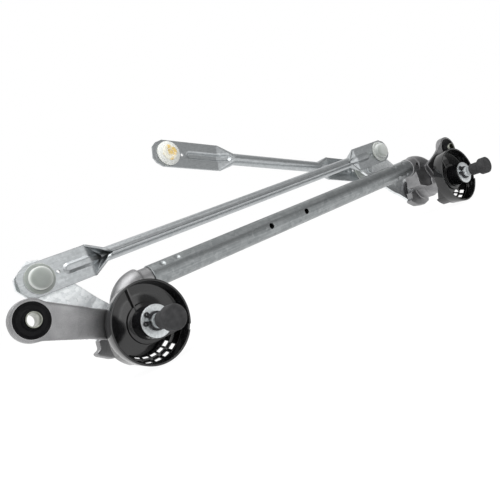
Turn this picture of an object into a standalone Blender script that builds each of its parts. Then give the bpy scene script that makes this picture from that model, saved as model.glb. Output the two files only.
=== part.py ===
"""Two-shaft windscreen wiper linkage, modelled in metres with +Z up.

X runs along the frame tube from the near housing to the far one.  The wiper
shafts point along -Y.  The model's origin is the middle of the near ear's
bolt sleeve.  Inside the assembly empty, x = 0 and z = 0 is the near shaft's
axis and y = 0 is the front face of the retaining washers.
"""
import math

import bmesh
import bpy
from mathutils import Matrix, Vector

MM = 0.001

# Layout of the linkage
FIT_GAP = 0.3 * MM
RUNNING_GAP = 0.1 * MM
SHAFT_SPACING = 479.0 * MM
CRANK_RADIUS = 82.6 * MM
CRANK_REST_ANGLE = math.radians(125.5)
BARREL_SIDES = 24
CUP_SIDES = 32
CIRCLE_SIDES = 20
SMALL_SIDES = 16

# Frame tube
TUBE_RADIUS = 11.0 * MM
TUBE_WALL = 1.5 * MM
TUBE_DEPTH = 50.0 * MM
TUBE_HEIGHT = 32.5 * MM
BRACKET_HOLE_RADIUS = 3.2 * MM
BRACKET_HOLE_SPACING = 53.4 * MM
BRACKET_HOLE_OFFSET = 145.2 * MM
DIMPLE_ROWS = (13.0 * MM, 30.0 * MM)
DIMPLE_LENGTH = 5.0 * MM
DIMPLE_DEPTH = 0.9 * MM

# Shaft, bearings and what retains them
SHAFT_RADIUS = 6.2 * MM
THREAD_RADIUS = 3.9 * MM
THREAD_TIP = 26.5 * MM
CONE_START = 10.5 * MM
CONE_LENGTH = 7.0 * MM
CONE_TOP_RADIUS = 5.0 * MM
WASHER_RADIUS = 13.6 * MM
WASHER_THICKNESS = 1.2 * MM
CIRCLIP_THICKNESS = 1.2 * MM
CIRCLIP_WIDTH = 2.2 * MM
CIRCLIP_GROOVE_DEPTH = 0.8 * MM
CIRCLIP_OPENING = math.radians(34)
CIRCLIP_LUG_RADIUS = 2.1 * MM
CIRCLIP_HOLE_RADIUS = 0.9 * MM
BUSH_WALL = 1.7 * MM
BUSH_LENGTH = 14.0 * MM
SEAL_THICKNESS = 2.2 * MM
THRUST_WASHER_RADIUS = 15.4 * MM
THRUST_WASHER_THICKNESS = 2.4 * MM

# Cast housing
BARREL_END = 83.0 * MM
BARREL_NOSE_RADIUS = 11.3 * MM
BARREL_RADIUS = 14.5 * MM
COLLAR_RADIUS = 16.4 * MM
COLLAR_START = 54.0 * MM
COLLAR_END = 66.0 * MM
NEAR_SHOULDER = 33.3 * MM
FAR_SHOULDER = 43.0 * MM
NEAR_BEND_RADIUS = 21.5 * MM
FAR_BEND_RADIUS = 30.0 * MM
NEAR_NECK_RADIUS = 10.2 * MM
FAR_NECK_RADIUS = 11.8 * MM
ELBOW_RADIUS = 12.8 * MM
ELBOW_STEP = 0.6 * MM
SPIGOT_LENGTH = 36.0 * MM
SPIGOT_CHAMFER = 1.5 * MM
PEG_HOLE_RADIUS = 2.5 * MM
PEG_HOLE_DEPTH = 6.0 * MM
PEG_HOLE_OFFSET = 9.3 * MM
EAR_RADIUS = 16.7 * MM
EAR_WALL = 2.5 * MM
EAR_THICKNESS = 8.4 * MM
EAR_WEB_THICKNESS = 3.0 * MM
EAR_WEB_WIDTH = 3.8 * MM
ARM_THICKNESS = 7.6 * MM
ARM_EAR_HALF = 15.8 * MM
ARM_ROOT_HALF = 12.5 * MM
TAB_START = 69.0 * MM
TAB_THICKNESS = 9.0 * MM
NEAR_EAR_ACROSS = -81.9 * MM
NEAR_EAR_DEPTH = 24.5 * MM
NEAR_EAR_HEIGHT = 38.1 * MM
FAR_EAR_ACROSS = 27.0 * MM
FAR_EAR_DEPTH = 30.6 * MM
FAR_EAR_HEIGHT = 35.5 * MM
NEAR_ARM_ROOT_DEPTH = 33.5 * MM
NEAR_ARM_ROOT_HEIGHT = -2.4 * MM
FAR_ARM_ROOT_ACROSS = -16.0 * MM
FAR_ARM_ROOT_DEPTH = 36.5 * MM
FAR_ARM_ROOT_HEIGHT = 14.2 * MM

# Rubber grommet and its steel sleeve
SLEEVE_LENGTH = 20.0 * MM
SLEEVE_RADIUS = 6.1 * MM
SLEEVE_WALL = 0.9 * MM

# Drain cup
CUP_RIM = 8.3 * MM
CUP_BACK = 22.0 * MM
CUP_RADIUS = 35.4 * MM
CUP_TAPER = 0.8 * MM
CUP_WALL = 1.8 * MM
HUB_WALL = 1.9 * MM
HUB_STEP_RADIUS = 17.2 * MM
HUB_STEP_HEIGHT = 2.2 * MM
POCKET_CHORD = 17.4 * MM
POCKET_SIDE_WALL = 0.9 * MM
POCKET_FLOOR_WALL = 1.0 * MM
POCKET_RADII = (33.2 * MM, 31.2 * MM, 28.7 * MM, 26.4 * MM)
POCKET_DEPTHS = (24.3 * MM, 28.8 * MM, 29.1 * MM, 33.8 * MM)
GRILLE_HOLE_WIDTH = 5.2 * MM
GRILLE_HOLE_HEIGHT = 4.6 * MM
GRILLE_SLOPE = math.radians(64)
GRILLE_FIRST_ANGLE = math.radians(-59.5)
GRILLE_PITCH = math.radians(15.2)
GRILLE_COLUMNS = 5
GRILLE_SECTOR_STEPS = 8
SKIRT_SWEEP = math.radians(32)
SKIRT_STEPS = 5
FAR_CUP_TURN = math.radians(10)
RIB_THICKNESS = 1.2 * MM
RIB_HEIGHT = 2.6 * MM
RIB_OFFSET = 5.0 * MM
NOTCH_ANGLE = math.radians(-30)
NOTCH_WIDTH = 5.0 * MM
NOTCH_DEPTH = 1.6 * MM

# Rubber shaft cap
CAP_END = 32.7 * MM
CAP_HEAD_RADIUS = 10.2 * MM
CAP_HEAD_LENGTH = 9.5 * MM
CAP_BODY_RADIUS = 7.4 * MM
CAP_TOP_WALL = 4.5 * MM
CAP_ROUNDING = 1.0 * MM

# Cranks and ball studs
CRANK_THICKNESS = 4.0 * MM
CRANK_JOGGLE = 2.5 * MM
CRANK_JOGGLE_START = 18.0 * MM
CRANK_JOGGLE_END = 30.0 * MM
CRANK_HUB_RADIUS = 17.0 * MM
CRANK_TIP_LENGTH = 15.9 * MM
CRANK_SHANK_RADIUS = 5.0 * MM
RIVET_HEAD_RADIUS = 8.0 * MM
RIVET_HEAD_HEIGHT = 2.0 * MM
NEAR_CRANK_END_WIDTH = 32.4 * MM
FAR_CRANK_END_WIDTH = 46.0 * MM
MOTOR_BALL_ANGLE = math.radians(141.7)
BALL_RADIUS = 6.5 * MM
BALL_STANDOFF = 10.8 * MM
BALL_NECK_RADIUS = 3.8 * MM
STUD_FLANGE_RADIUS = 7.4 * MM
STUD_FLANGE_HEIGHT = 2.2 * MM
STUD_SHANK_RADIUS = 4.0 * MM
STUD_HEAD_RADIUS = 6.4 * MM
STUD_HEAD_HEIGHT = 1.6 * MM

# Pressed strip rods and their plastic ball sockets
ROD_SHEET = 2.0 * MM
ROD_TUBE_RADIUS = 6.7 * MM
ROD_TUBE_SET_BACK = 2.0 * MM
ROD_END_WIDTH = 29.5 * MM
COUPLING_FLAT_LENGTH = 47.0 * MM
MOTOR_FLAT_LENGTH = 62.0 * MM
ROD_CURL_LENGTH = 18.0 * MM
ROD_TIP_LENGTH = 18.0 * MM
ROD_SEAM_GAP = 0.9 * MM
BEAD_START = 21.8 * MM
BEAD_HEIGHT = 1.9 * MM
BEAD_HALF_WIDTH = 3.4 * MM
PIN_HOLE_OFFSET = 16.4 * MM
PIN_HOLE_RADIUS = 1.3 * MM
MOTOR_ROD_LENGTH = 294.1 * MM
MOTOR_ROD_ANGLE = math.radians(161.35)
SOCKET_RING_RADIUS = 13.2 * MM
SOCKET_NECK_RADIUS = 8.0 * MM
SOCKET_DOME_RADIUS = 9.8 * MM
SOCKET_DOME_HEIGHT = 8.3 * MM
SOCKET_RING_THICKNESS = 1.6 * MM
SOCKET_MOUTH_DEPTH = 5.0 * MM
SOCKET_MOUTH_RADIUS = 6.0 * MM

# Depths along the shafts that follow from the sizes above
NOSE_FACE = WASHER_THICKNESS + FIT_GAP
HUB_RADIUS = BARREL_NOSE_RADIUS + FIT_GAP + HUB_WALL
BORE_RADIUS = SHAFT_RADIUS + RUNNING_GAP + BUSH_WALL + FIT_GAP
CRANK_FACE = BARREL_END + THRUST_WASHER_THICKNESS + 2 * FIT_GAP
CRANK_BALL_FACE = CRANK_FACE + CRANK_JOGGLE
ROD_PLANE = CRANK_BALL_FACE - BALL_STANDOFF
MOTOR_ROD_PLANE = CRANK_BALL_FACE + CRANK_THICKNESS + BALL_STANDOFF
EAR_BORE_RADIUS = EAR_RADIUS - EAR_WALL
NEAR_EAR = Vector((NEAR_EAR_ACROSS, NEAR_EAR_DEPTH, NEAR_EAR_HEIGHT))
FAR_EAR = Vector((FAR_EAR_ACROSS, FAR_EAR_DEPTH, FAR_EAR_HEIGHT))
NEAR_ARM_ROOT = Vector((0, NEAR_ARM_ROOT_DEPTH, NEAR_ARM_ROOT_HEIGHT))
FAR_ARM_ROOT = Vector((FAR_ARM_ROOT_ACROSS, FAR_ARM_ROOT_DEPTH, FAR_ARM_ROOT_HEIGHT))
FAR_CRANK_ANGLE = (CRANK_REST_ANGLE + MOTOR_BALL_ANGLE) / 2


def clear_scene():
    """Remove every object that the open file holds."""
    for item in list(bpy.data.objects):
        bpy.data.objects.remove(item, do_unlink=True)


def material(name, color, metallic, roughness):
    """One Principled material with the piece's plain finish."""
    made = bpy.data.materials.new(name)
    made.use_nodes = True
    shader = made.node_tree.nodes["Principled BSDF"]
    shader.inputs["Base Color"].default_value = (*color, 1.0)
    shader.inputs["Metallic"].default_value = metallic
    shader.inputs["Roughness"].default_value = roughness
    return made


def axis_empty(name, location, parent=None):
    """An empty that carries the pieces of one body on their joint's axis."""
    empty = bpy.data.objects.new(name, None)
    empty.location = location
    empty.parent = parent
    bpy.context.collection.objects.link(empty)
    return empty


def finish_object(name, mesh_data, parent, finish=None, location=(0, 0, 0), turn=0.0):
    """Turn a bmesh into a smooth shaded object, turned about the Y axis."""
    bmesh.ops.recalc_face_normals(mesh_data, faces=mesh_data.faces)
    mesh = bpy.data.meshes.new(name)
    mesh_data.to_mesh(mesh)
    mesh_data.free()
    mesh.shade_smooth()
    mesh.set_sharp_from_angle(angle=math.radians(32))
    piece = bpy.data.objects.new(name, mesh)
    piece.location = location
    piece.rotation_euler = (0, -turn, 0)
    piece.parent = parent
    bpy.context.collection.objects.link(piece)
    if finish is None:
        piece.hide_render = True
        piece.display_type = "WIRE"
    else:
        mesh.materials.append(finish)
    return piece


def combine(piece, tool, operation, solver="EXACT"):
    """Join a hidden tool to a piece, or cut it away, with a Boolean."""
    step = piece.modifiers.new(tool.name, "BOOLEAN")
    step.operation = operation
    step.solver = solver
    step.object = tool


def turned(profile, sides=CIRCLE_SIDES, hollow=False):
    """Spin a list of (radius, depth) points once round the Y axis."""
    shape = bmesh.new()
    points = [shape.verts.new((radius, depth, 0)) for radius, depth in profile]
    edges = [shape.edges.new(pair) for pair in zip(points, points[1:])]
    if hollow:
        edges.append(shape.edges.new((points[-1], points[0])))
    bmesh.ops.spin(
        shape,
        geom=points + edges,
        cent=(0, 0, 0),
        axis=(0, 1, 0),
        angle=2 * math.pi,
        steps=sides,
        use_merge=True,
    )
    bmesh.ops.remove_doubles(shape, verts=shape.verts, dist=0.001 * MM)
    return shape


def prism(outline, start, end):
    """Extrude a closed XZ outline along Y from one depth to another."""
    shape = bmesh.new()
    face = shape.faces.new([shape.verts.new((x, start, z)) for x, z in outline])
    grown = bmesh.ops.extrude_face_region(shape, geom=[face])
    moved = [item for item in grown["geom"] if isinstance(item, bmesh.types.BMVert)]
    bmesh.ops.translate(shape, verts=moved, vec=(0, end - start, 0))
    return shape


def lofted(rings):
    """Bridge closed rings with equal counts of points and cap both ends."""
    shape = bmesh.new()
    loops = [[shape.verts.new(point) for point in ring] for ring in rings]
    count = len(loops[0])
    for first, second in zip(loops, loops[1:]):
        for index in range(count):
            following = (index + 1) % count
            shape.faces.new((first[index], first[following], second[following], second[index]))
    shape.faces.new(loops[0])
    shape.faces.new(loops[-1])
    return shape


def disc(radius, start, end, sides=CIRCLE_SIDES):
    """A plain round slug along Y."""
    return turned([(0, start), (radius, start), (radius, end), (0, end)], sides)


def ring(inner, outer, start, end, sides=CIRCLE_SIDES):
    """A flat washer shape along Y."""
    profile = [(inner, start), (outer, start), (outer, end), (inner, end)]
    return turned(profile, sides, hollow=True)


def arc_points(radius, first, last, count, depth=0.0):
    """Points (radius, depth) of a circle's arc centred on the Y axis."""
    step = (last - first) / (count - 1)
    angles = [first + step * index for index in range(count)]
    return [(radius * math.cos(angle), depth + radius * math.sin(angle)) for angle in angles]


def make_frame_tube(parent, finish):
    """Steel tube pushed over both spigots and crimped on by dimples."""
    start = NEAR_SHOULDER + FIT_GAP
    end = SHAFT_SPACING - FAR_SHOULDER - FIT_GAP
    rows = [start + row for row in DIMPLE_ROWS] + [end - row for row in reversed(DIMPLE_ROWS)]
    stations = [start]
    for row in rows:
        stations += [row - DIMPLE_LENGTH / 2, row, row + DIMPLE_LENGTH / 2]
    stations.append(end)
    inner = TUBE_RADIUS - TUBE_WALL
    profile = [(TUBE_RADIUS, station) for station in stations] + [(inner, end), (inner, start)]
    shape = turned(profile, BARREL_SIDES, hollow=True)
    for vert in shape.verts:
        angle = math.degrees(math.atan2(vert.co.z, vert.co.x)) % 90
        on_row = any(abs(vert.co.y - row) < DIMPLE_LENGTH / 4 for row in rows)
        if on_row and abs(angle - 45) < 180 / BARREL_SIDES:
            shrink = (TUBE_RADIUS - DIMPLE_DEPTH) / TUBE_RADIUS
            vert.co.x *= shrink
            vert.co.z *= shrink
    bmesh.ops.rotate(shape, verts=shape.verts, matrix=Matrix.Rotation(-math.pi / 2, 3, "Z"))
    bmesh.ops.translate(shape, verts=shape.verts, vec=(0, TUBE_DEPTH, TUBE_HEIGHT))
    tube = finish_object("frame_tube", shape, parent, finish)
    for index in range(2):
        across = disc(BRACKET_HOLE_RADIUS, 0, 2 * TUBE_RADIUS + 2 * TUBE_WALL, SMALL_SIDES)
        place = (
            NEAR_SHOULDER + BRACKET_HOLE_OFFSET + index * BRACKET_HOLE_SPACING,
            TUBE_DEPTH - TUBE_RADIUS - TUBE_WALL,
            TUBE_HEIGHT,
        )
        drill = finish_object(f"bracket_hole_{index + 1}", across, parent, location=place)
        combine(tube, drill, "DIFFERENCE")
    return tube


def elbow_rings(side, shoulder, bend, neck):
    """Rings of the cast elbow, from the tube's shoulder down to the barrel."""
    path = [
        (shoulder, TUBE_HEIGHT, 0.0, neck),
        (bend + ELBOW_STEP, TUBE_HEIGHT, 0.0, neck),
    ]
    steps = 6
    for index in range(steps):
        angle = index / (steps - 1) * math.pi / 2
        x = bend * (1 - math.sin(angle))
        z = TUBE_HEIGHT - bend * (1 - math.cos(angle))
        path.append((x, z, angle, ELBOW_RADIUS))
    path.append((0.0, 0.0, math.pi / 2, ELBOW_RADIUS))
    rings = []
    for x, z, angle, radius in path:
        outward = Vector((-side * math.sin(angle), 0, math.cos(angle)))
        loop = []
        for step in range(SMALL_SIDES):
            turn = 2 * math.pi * step / SMALL_SIDES
            offset = outward * (radius * math.cos(turn))
            loop.append(Vector((side * x, TUBE_DEPTH + radius * math.sin(turn), z)) + offset)
        rings.append(loop)
    return rings


def spigot(side, shoulder):
    """Round peg with a chamfered end that the tube is crimped on."""
    radius = TUBE_RADIUS - TUBE_WALL - FIT_GAP
    tip = radius - SPIGOT_CHAMFER
    profile = [
        (0, -NEAR_BEND_RADIUS / 2),
        (radius, -NEAR_BEND_RADIUS / 2),
        (radius, SPIGOT_LENGTH - SPIGOT_CHAMFER),
        (tip, SPIGOT_LENGTH),
        (0, SPIGOT_LENGTH),
    ]
    shape = turned(profile, BARREL_SIDES)
    bmesh.ops.rotate(shape, verts=shape.verts, matrix=Matrix.Rotation(-side * math.pi / 2, 3, "Z"))
    vec = (side * shoulder, TUBE_DEPTH, TUBE_HEIGHT)
    bmesh.ops.translate(shape, verts=shape.verts, vec=vec)
    return shape


def barrel():
    """Bearing barrel with a slim nose for the cup and a collar near its end."""
    shoulder = CUP_BACK + FIT_GAP
    chamfer = COLLAR_RADIUS - BARREL_RADIUS
    profile = [
        (0, NOSE_FACE),
        (BARREL_NOSE_RADIUS, NOSE_FACE),
        (BARREL_NOSE_RADIUS, shoulder),
        (BARREL_RADIUS, shoulder),
        (BARREL_RADIUS, COLLAR_START - chamfer),
        (COLLAR_RADIUS, COLLAR_START),
        (COLLAR_RADIUS, COLLAR_END),
        (BARREL_RADIUS, COLLAR_END),
        (BARREL_RADIUS, BARREL_END),
        (0, BARREL_END),
    ]
    return turned(profile, BARREL_SIDES)


def arm_rings(ear, root):
    """Sections of the curved arm that carries the ear, swept to its root."""
    reach = root - ear
    along = Vector((reach.x, 0, reach.z))
    across = Vector((-along.z, 0, along.x)).normalized()
    steps = 6
    corner = ARM_THICKNESS / 5
    rings = []
    for index in range(steps):
        part = index / (steps - 1)
        ease = part * part * (3 - 2 * part)
        centre = Vector((ear.x, 0, ear.z)) + along * part
        depth = ear.y + (root.y - ear.y) * ease
        half = ARM_EAR_HALF + (ARM_ROOT_HALF - ARM_EAR_HALF) * min(1.0, 2 * part)
        front = depth - ARM_THICKNESS / 2
        back = depth + ARM_THICKNESS / 2
        section = [
            (-half + corner, front),
            (half - corner, front),
            (half, front + corner),
            (half, back),
            (-half, back),
            (-half, front + corner),
        ]
        rings.append([centre + across * width + Vector((0, y, 0)) for width, y in section])
    return rings


def tab_outline():
    """Hooked foot under the barrel, with a lip that points to -X."""
    reach = 2 * BARREL_RADIUS
    points = [
        (-0.42, 0.05),
        (-0.86, -0.03),
        (-0.90, -0.29),
        (-1.08, -0.36),
        (-1.04, -0.46),
        (-0.70, -0.70),
        (-0.21, -0.81),
        (0.21, -0.73),
        (0.33, -0.40),
    ]
    return [(reach * x, reach * z) for x, z in points]


def make_housing(name, parent, finish, side, elbow, ear, root, x):
    """Die-cast pivot housing: barrel, elbow, spigot, eared arm and hooked foot."""
    shoulder, bend, neck = elbow
    origin = (x, 0, 0)
    body = finish_object(f"{name}_housing", barrel(), parent, finish, origin)
    ear_front = ear.y - EAR_THICKNESS / 2
    ear_back = ear.y + EAR_THICKNESS / 2
    ear_place = (x + ear.x, 0, ear.z)
    additions = {
        "elbow": (lofted(elbow_rings(side, shoulder, bend, neck)), origin),
        "spigot": (spigot(side, shoulder), origin),
        "arm": (lofted(arm_rings(ear, root)), origin),
        "ear": (disc(EAR_RADIUS, ear_front, ear_back, BARREL_SIDES), ear_place),
        "foot": (prism(tab_outline(), TAB_START, TAB_START + TAB_THICKNESS), origin),
    }
    for part, (shape, place) in additions.items():
        combine(body, finish_object(f"{name}_{part}", shape, parent, location=place), "UNION")
    web = EAR_WEB_THICKNESS / 2
    over = ARM_THICKNESS
    web_radius = EAR_BORE_RADIUS - EAR_WEB_WIDTH
    cuts = {
        "bore": (disc(BORE_RADIUS, -over, BARREL_END + over), origin),
        "ear_front": (disc(EAR_BORE_RADIUS, ear_front - over, ear.y - web, BARREL_SIDES), ear_place),
        "ear_back": (disc(EAR_BORE_RADIUS, ear.y + web, ear_back + over, BARREL_SIDES), ear_place),
        "ear_hole": (disc(web_radius, ear_front - over, ear_back + over), ear_place),
    }
    if side < 0:
        neck_front = TUBE_DEPTH - neck
        peg_hole = disc(PEG_HOLE_RADIUS, neck_front - over, neck_front + PEG_HOLE_DEPTH, SMALL_SIDES)
        cuts["peg_hole"] = (peg_hole, (x + PEG_HOLE_OFFSET - shoulder, 0, TUBE_HEIGHT))
    for part, (shape, place) in cuts.items():
        cutter = finish_object(f"{name}_{part}", shape, parent, location=place)
        combine(body, cutter, "DIFFERENCE", "MANIFOLD")
    return body


def make_grommet(name, parent, finish, place):
    """Rubber grommet: two flanges with a groove that grips the ear's web."""
    half = SLEEVE_LENGTH / 2
    bore = SLEEVE_RADIUS + FIT_GAP
    flange = EAR_BORE_RADIUS - FIT_GAP
    groove = EAR_BORE_RADIUS - EAR_WEB_WIDTH - FIT_GAP
    web = EAR_WEB_THICKNESS / 2 + FIT_GAP
    face = EAR_THICKNESS / 2
    dish = face - 1.3 * EAR_WALL / 2
    lip = half - 2 * SLEEVE_WALL
    front = [
        (bore, -lip),
        (bore + SLEEVE_WALL, -lip),
        (bore + 2 * SLEEVE_WALL, -face),
        (flange - 1.6 * EAR_WALL, -dish),
        (flange - EAR_WALL / 2, -face),
        (flange, -web),
        (groove, -web),
    ]
    back = [(radius, -depth) for radius, depth in reversed(front)]
    return finish_object(name, turned(front + back, hollow=True), parent, finish, place)


def make_sleeve(name, parent, finish, place):
    """Steel sleeve that the mounting bolt clamps."""
    half = SLEEVE_LENGTH / 2
    shape = ring(SLEEVE_RADIUS - SLEEVE_WALL, SLEEVE_RADIUS, -half, half)
    return finish_object(name, shape, parent, finish, place)


def cup_segment(profile, chord):
    """The part of a turned slug that lies below a level chord."""
    shape = turned(profile, CUP_SIDES)
    everything = shape.verts[:] + shape.edges[:] + shape.faces[:]
    cut = bmesh.ops.bisect_plane(
        shape,
        geom=everything,
        plane_co=(0, 0, -chord),
        plane_no=(0, 0, 1),
        clear_outer=True,
    )
    rim = [item for item in cut["geom_cut"] if isinstance(item, bmesh.types.BMEdge)]
    bmesh.ops.contextual_create(shape, geom=rim)
    return shape


def make_cup(name, parent, finish, x, turn):
    """Moulded drain cup: hub, floor, wall and a deeper pocket with a grille."""
    place = {"location": (x, 0, 0), "turn": turn}
    floor = CUP_BACK - CUP_WALL
    back_radius = CUP_RADIUS - CUP_TAPER
    bore = BARREL_NOSE_RADIUS + FIT_GAP
    profile = [
        (bore, NOSE_FACE),
        (HUB_RADIUS, NOSE_FACE),
        (HUB_RADIUS, floor - HUB_STEP_HEIGHT),
        (HUB_STEP_RADIUS, floor - HUB_STEP_HEIGHT),
        (HUB_STEP_RADIUS, floor),
        (back_radius - CUP_WALL, floor),
        (CUP_RADIUS - CUP_WALL, CUP_RIM),
        (CUP_RADIUS, CUP_RIM),
        (back_radius, CUP_BACK),
        (bore, CUP_BACK),
    ]
    cup = finish_object(name, turned(profile, CUP_SIDES, hollow=True), parent, finish, **place)
    corners = list(zip(POCKET_RADII, POCKET_DEPTHS))
    seam = floor + CUP_WALL / 2
    shell_radius = back_radius - FIT_GAP
    shell_back = POCKET_DEPTHS[-1] + POCKET_FLOOR_WALL
    pocket = [(0, seam), (shell_radius, seam), (shell_radius, shell_back), (0, shell_back)]
    outer = cup_segment(pocket, POCKET_CHORD - CUP_WALL)
    shell = finish_object(f"{name}_pocket", outer, parent, **place)
    combine(cup, shell, "UNION", "MANIFOLD")
    skirt_sides = (shell_radius - FIT_GAP / 2, back_radius - CUP_WALL - FIT_GAP / 2)
    for index, (first, sign) in enumerate(((0.0, -1), (-math.pi, 1))):
        rings = []
        for step in range(SKIRT_STEPS + 1):
            part = step / SKIRT_STEPS
            end = CUP_BACK + FIT_GAP + part * (POCKET_DEPTHS[-1] - CUP_BACK)
            angle = first + sign * part * SKIRT_SWEEP
            outline = [(skirt_sides[0], seam), (skirt_sides[0], end)]
            outline += [(skirt_sides[1], end), (skirt_sides[1], seam)]
            rings.append([(r * math.cos(angle), y, r * math.sin(angle)) for r, y in outline])
        skirt = finish_object(f"{name}_skirt_{index + 1}", lofted(rings), parent, **place)
        combine(cup, skirt, "UNION", "MANIFOLD")
    half = RIB_THICKNESS / 2
    rib_outline = [
        (-RIB_OFFSET - half, HUB_RADIUS - HUB_WALL / 2),
        (-RIB_OFFSET + half, HUB_RADIUS - HUB_WALL / 2),
        (-RIB_OFFSET + half, back_radius - CUP_WALL),
        (-RIB_OFFSET - half, back_radius - CUP_WALL),
    ]
    rib = prism(rib_outline, floor - RIB_HEIGHT, floor + CUP_WALL / 2)
    web = finish_object(f"{name}_rib", rib, parent, **place)
    combine(cup, web, "UNION", "MANIFOLD")
    mouth = back_radius - CUP_WALL - FIT_GAP
    ledge = seam + FIT_GAP
    inside = [(0, floor - CUP_WALL), (mouth, floor - CUP_WALL), (mouth, ledge), (corners[0][0], ledge)]
    inside += corners + [(0, corners[-1][1])]
    inner = cup_segment(inside, POCKET_CHORD)
    hollow = finish_object(f"{name}_pocket_space", inner, parent, **place)
    combine(cup, hollow, "DIFFERENCE", "MANIFOLD")
    steps = [(r + POCKET_SIDE_WALL, depth + POCKET_FLOOR_WALL) for r, depth in corners]
    past = CUP_RADIUS + CUP_WALL
    beyond = shell_back + CUP_WALL
    clearing = [(past, steps[0][1])] + steps + [(steps[-1][0], beyond), (past, beyond)]
    relief = []
    sweep = GRILLE_COLUMNS * GRILLE_PITCH / GRILLE_SECTOR_STEPS
    for index in range(GRILLE_SECTOR_STEPS + 1):
        angle = GRILLE_FIRST_ANGLE + GRILLE_PITCH / 2 - index * sweep
        relief.append([(r * math.cos(angle), y, r * math.sin(angle)) for r, y in clearing])
    space = finish_object(f"{name}_grille_relief", lofted(relief), parent, **place)
    combine(cup, space, "DIFFERENCE", "MANIFOLD")
    punch = bmesh.new()
    size = Matrix.Diagonal((2 * CUP_WALL, GRILLE_HOLE_HEIGHT, GRILLE_HOLE_WIDTH, 1))
    for first, second in ((0, 1), (2, 3)):
        radius = (steps[first][0] + corners[second][0]) / 2
        depth = (steps[first][1] + corners[second][1]) / 2
        for column in range(GRILLE_COLUMNS):
            angle = GRILLE_FIRST_ANGLE - column * GRILLE_PITCH
            spot = Matrix.Rotation(-angle, 4, "Y") @ Matrix.Translation((radius, depth, 0))
            tilt = Matrix.Rotation(math.pi / 2 - GRILLE_SLOPE, 4, "Z")
            bmesh.ops.create_cube(punch, size=1, matrix=spot @ tilt @ size)
    holes = finish_object(f"{name}_grille", punch, parent, **place)
    combine(cup, holes, "DIFFERENCE", "MANIFOLD")
    notch = bmesh.new()
    spot = Matrix.Rotation(-NOTCH_ANGLE, 4, "Y") @ Matrix.Translation((CUP_RADIUS, CUP_RIM, 0))
    size = Matrix.Diagonal((4 * CUP_WALL, 2 * NOTCH_DEPTH, NOTCH_WIDTH, 1))
    bmesh.ops.create_cube(notch, size=1, matrix=spot @ size)
    gap = finish_object(f"{name}_notch", notch, parent, **place)
    combine(cup, gap, "DIFFERENCE", "MANIFOLD")
    return cup


def make_shaft(name, parent, finish):
    """Wiper shaft: thread, cone, circlip groove and a riveted rear shank."""
    groove_front = -CIRCLIP_THICKNESS - 2 * FIT_GAP
    groove = SHAFT_RADIUS - CIRCLIP_GROOVE_DEPTH
    head = CRANK_FACE + CRANK_THICKNESS + FIT_GAP
    chamfer = THREAD_RADIUS / 5
    profile = [
        (0, -THREAD_TIP),
        (THREAD_RADIUS - chamfer, -THREAD_TIP),
        (THREAD_RADIUS, -THREAD_TIP + chamfer),
        (THREAD_RADIUS, -CONE_START - CONE_LENGTH),
        (CONE_TOP_RADIUS, -CONE_START - CONE_LENGTH),
        (SHAFT_RADIUS, -CONE_START),
        (SHAFT_RADIUS, groove_front - FIT_GAP),
        (groove, groove_front - FIT_GAP),
        (groove, 0),
        (SHAFT_RADIUS, 0),
        (SHAFT_RADIUS, CRANK_FACE - FIT_GAP),
        (CRANK_SHANK_RADIUS, CRANK_FACE - FIT_GAP),
        (CRANK_SHANK_RADIUS, head),
        (RIVET_HEAD_RADIUS, head),
        (RIVET_HEAD_RADIUS, head + RIVET_HEAD_HEIGHT / 2),
        (CRANK_SHANK_RADIUS, head + RIVET_HEAD_HEIGHT),
        (0, head + RIVET_HEAD_HEIGHT),
    ]
    return finish_object(name, turned(profile), parent, finish)


def make_circlip(name, parent, finish):
    """Open spring ring with two drilled lugs at its ends."""
    inner = SHAFT_RADIUS - CIRCLIP_GROOVE_DEPTH + FIT_GAP
    outer = inner + CIRCLIP_WIDTH
    sides = SMALL_SIDES
    half = CIRCLIP_OPENING / 2
    angles = [math.pi - half - (2 * math.pi - 2 * half) * i / sides for i in range(sides + 1)]
    outline = [(outer * math.cos(angle), outer * math.sin(angle)) for angle in angles]
    outline += [(inner * math.cos(angle), inner * math.sin(angle)) for angle in reversed(angles)]
    front = -CIRCLIP_THICKNESS - FIT_GAP
    back = -FIT_GAP
    clip = finish_object(name, prism(outline, front, back), parent, finish)
    lug_reach = outer + CIRCLIP_LUG_RADIUS / 3
    for index, sign in enumerate((1, -1)):
        angle = math.pi - sign * (half + CIRCLIP_LUG_RADIUS / outer)
        place = (lug_reach * math.cos(angle), 0, lug_reach * math.sin(angle))
        lug = disc(CIRCLIP_LUG_RADIUS, front - FIT_GAP / 4, back + FIT_GAP / 4, 10)
        tool = finish_object(f"{name}_lug_{index + 1}", lug, parent, location=place)
        combine(clip, tool, "UNION")
    for index, sign in enumerate((1, -1)):
        angle = math.pi - sign * (half + CIRCLIP_LUG_RADIUS / outer)
        place = (lug_reach * math.cos(angle), 0, lug_reach * math.sin(angle))
        drill = disc(CIRCLIP_HOLE_RADIUS, 2 * front, -front, 8)
        tool = finish_object(f"{name}_eye_{index + 1}", drill, parent, location=place)
        combine(clip, tool, "DIFFERENCE")
    return clip


def make_cap(name, parent, finish):
    """Rubber cap over the cone and thread, wider at its head."""
    bore = SHAFT_RADIUS + RUNNING_GAP
    head_start = -CAP_END + CAP_HEAD_LENGTH
    profile = [
        (0, -CAP_END),
        (CAP_HEAD_RADIUS - CAP_ROUNDING, -CAP_END),
        (CAP_HEAD_RADIUS, -CAP_END + CAP_ROUNDING),
        (CAP_HEAD_RADIUS, head_start - CAP_ROUNDING),
        (CAP_HEAD_RADIUS - CAP_ROUNDING, head_start),
        (CAP_BODY_RADIUS, head_start + CAP_ROUNDING),
        (CAP_BODY_RADIUS, -CONE_START),
        (bore, -CONE_START),
        (bore, -CAP_END + CAP_TOP_WALL),
        (0, -CAP_END + CAP_TOP_WALL),
    ]
    return finish_object(name, turned(profile), parent, finish)


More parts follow.
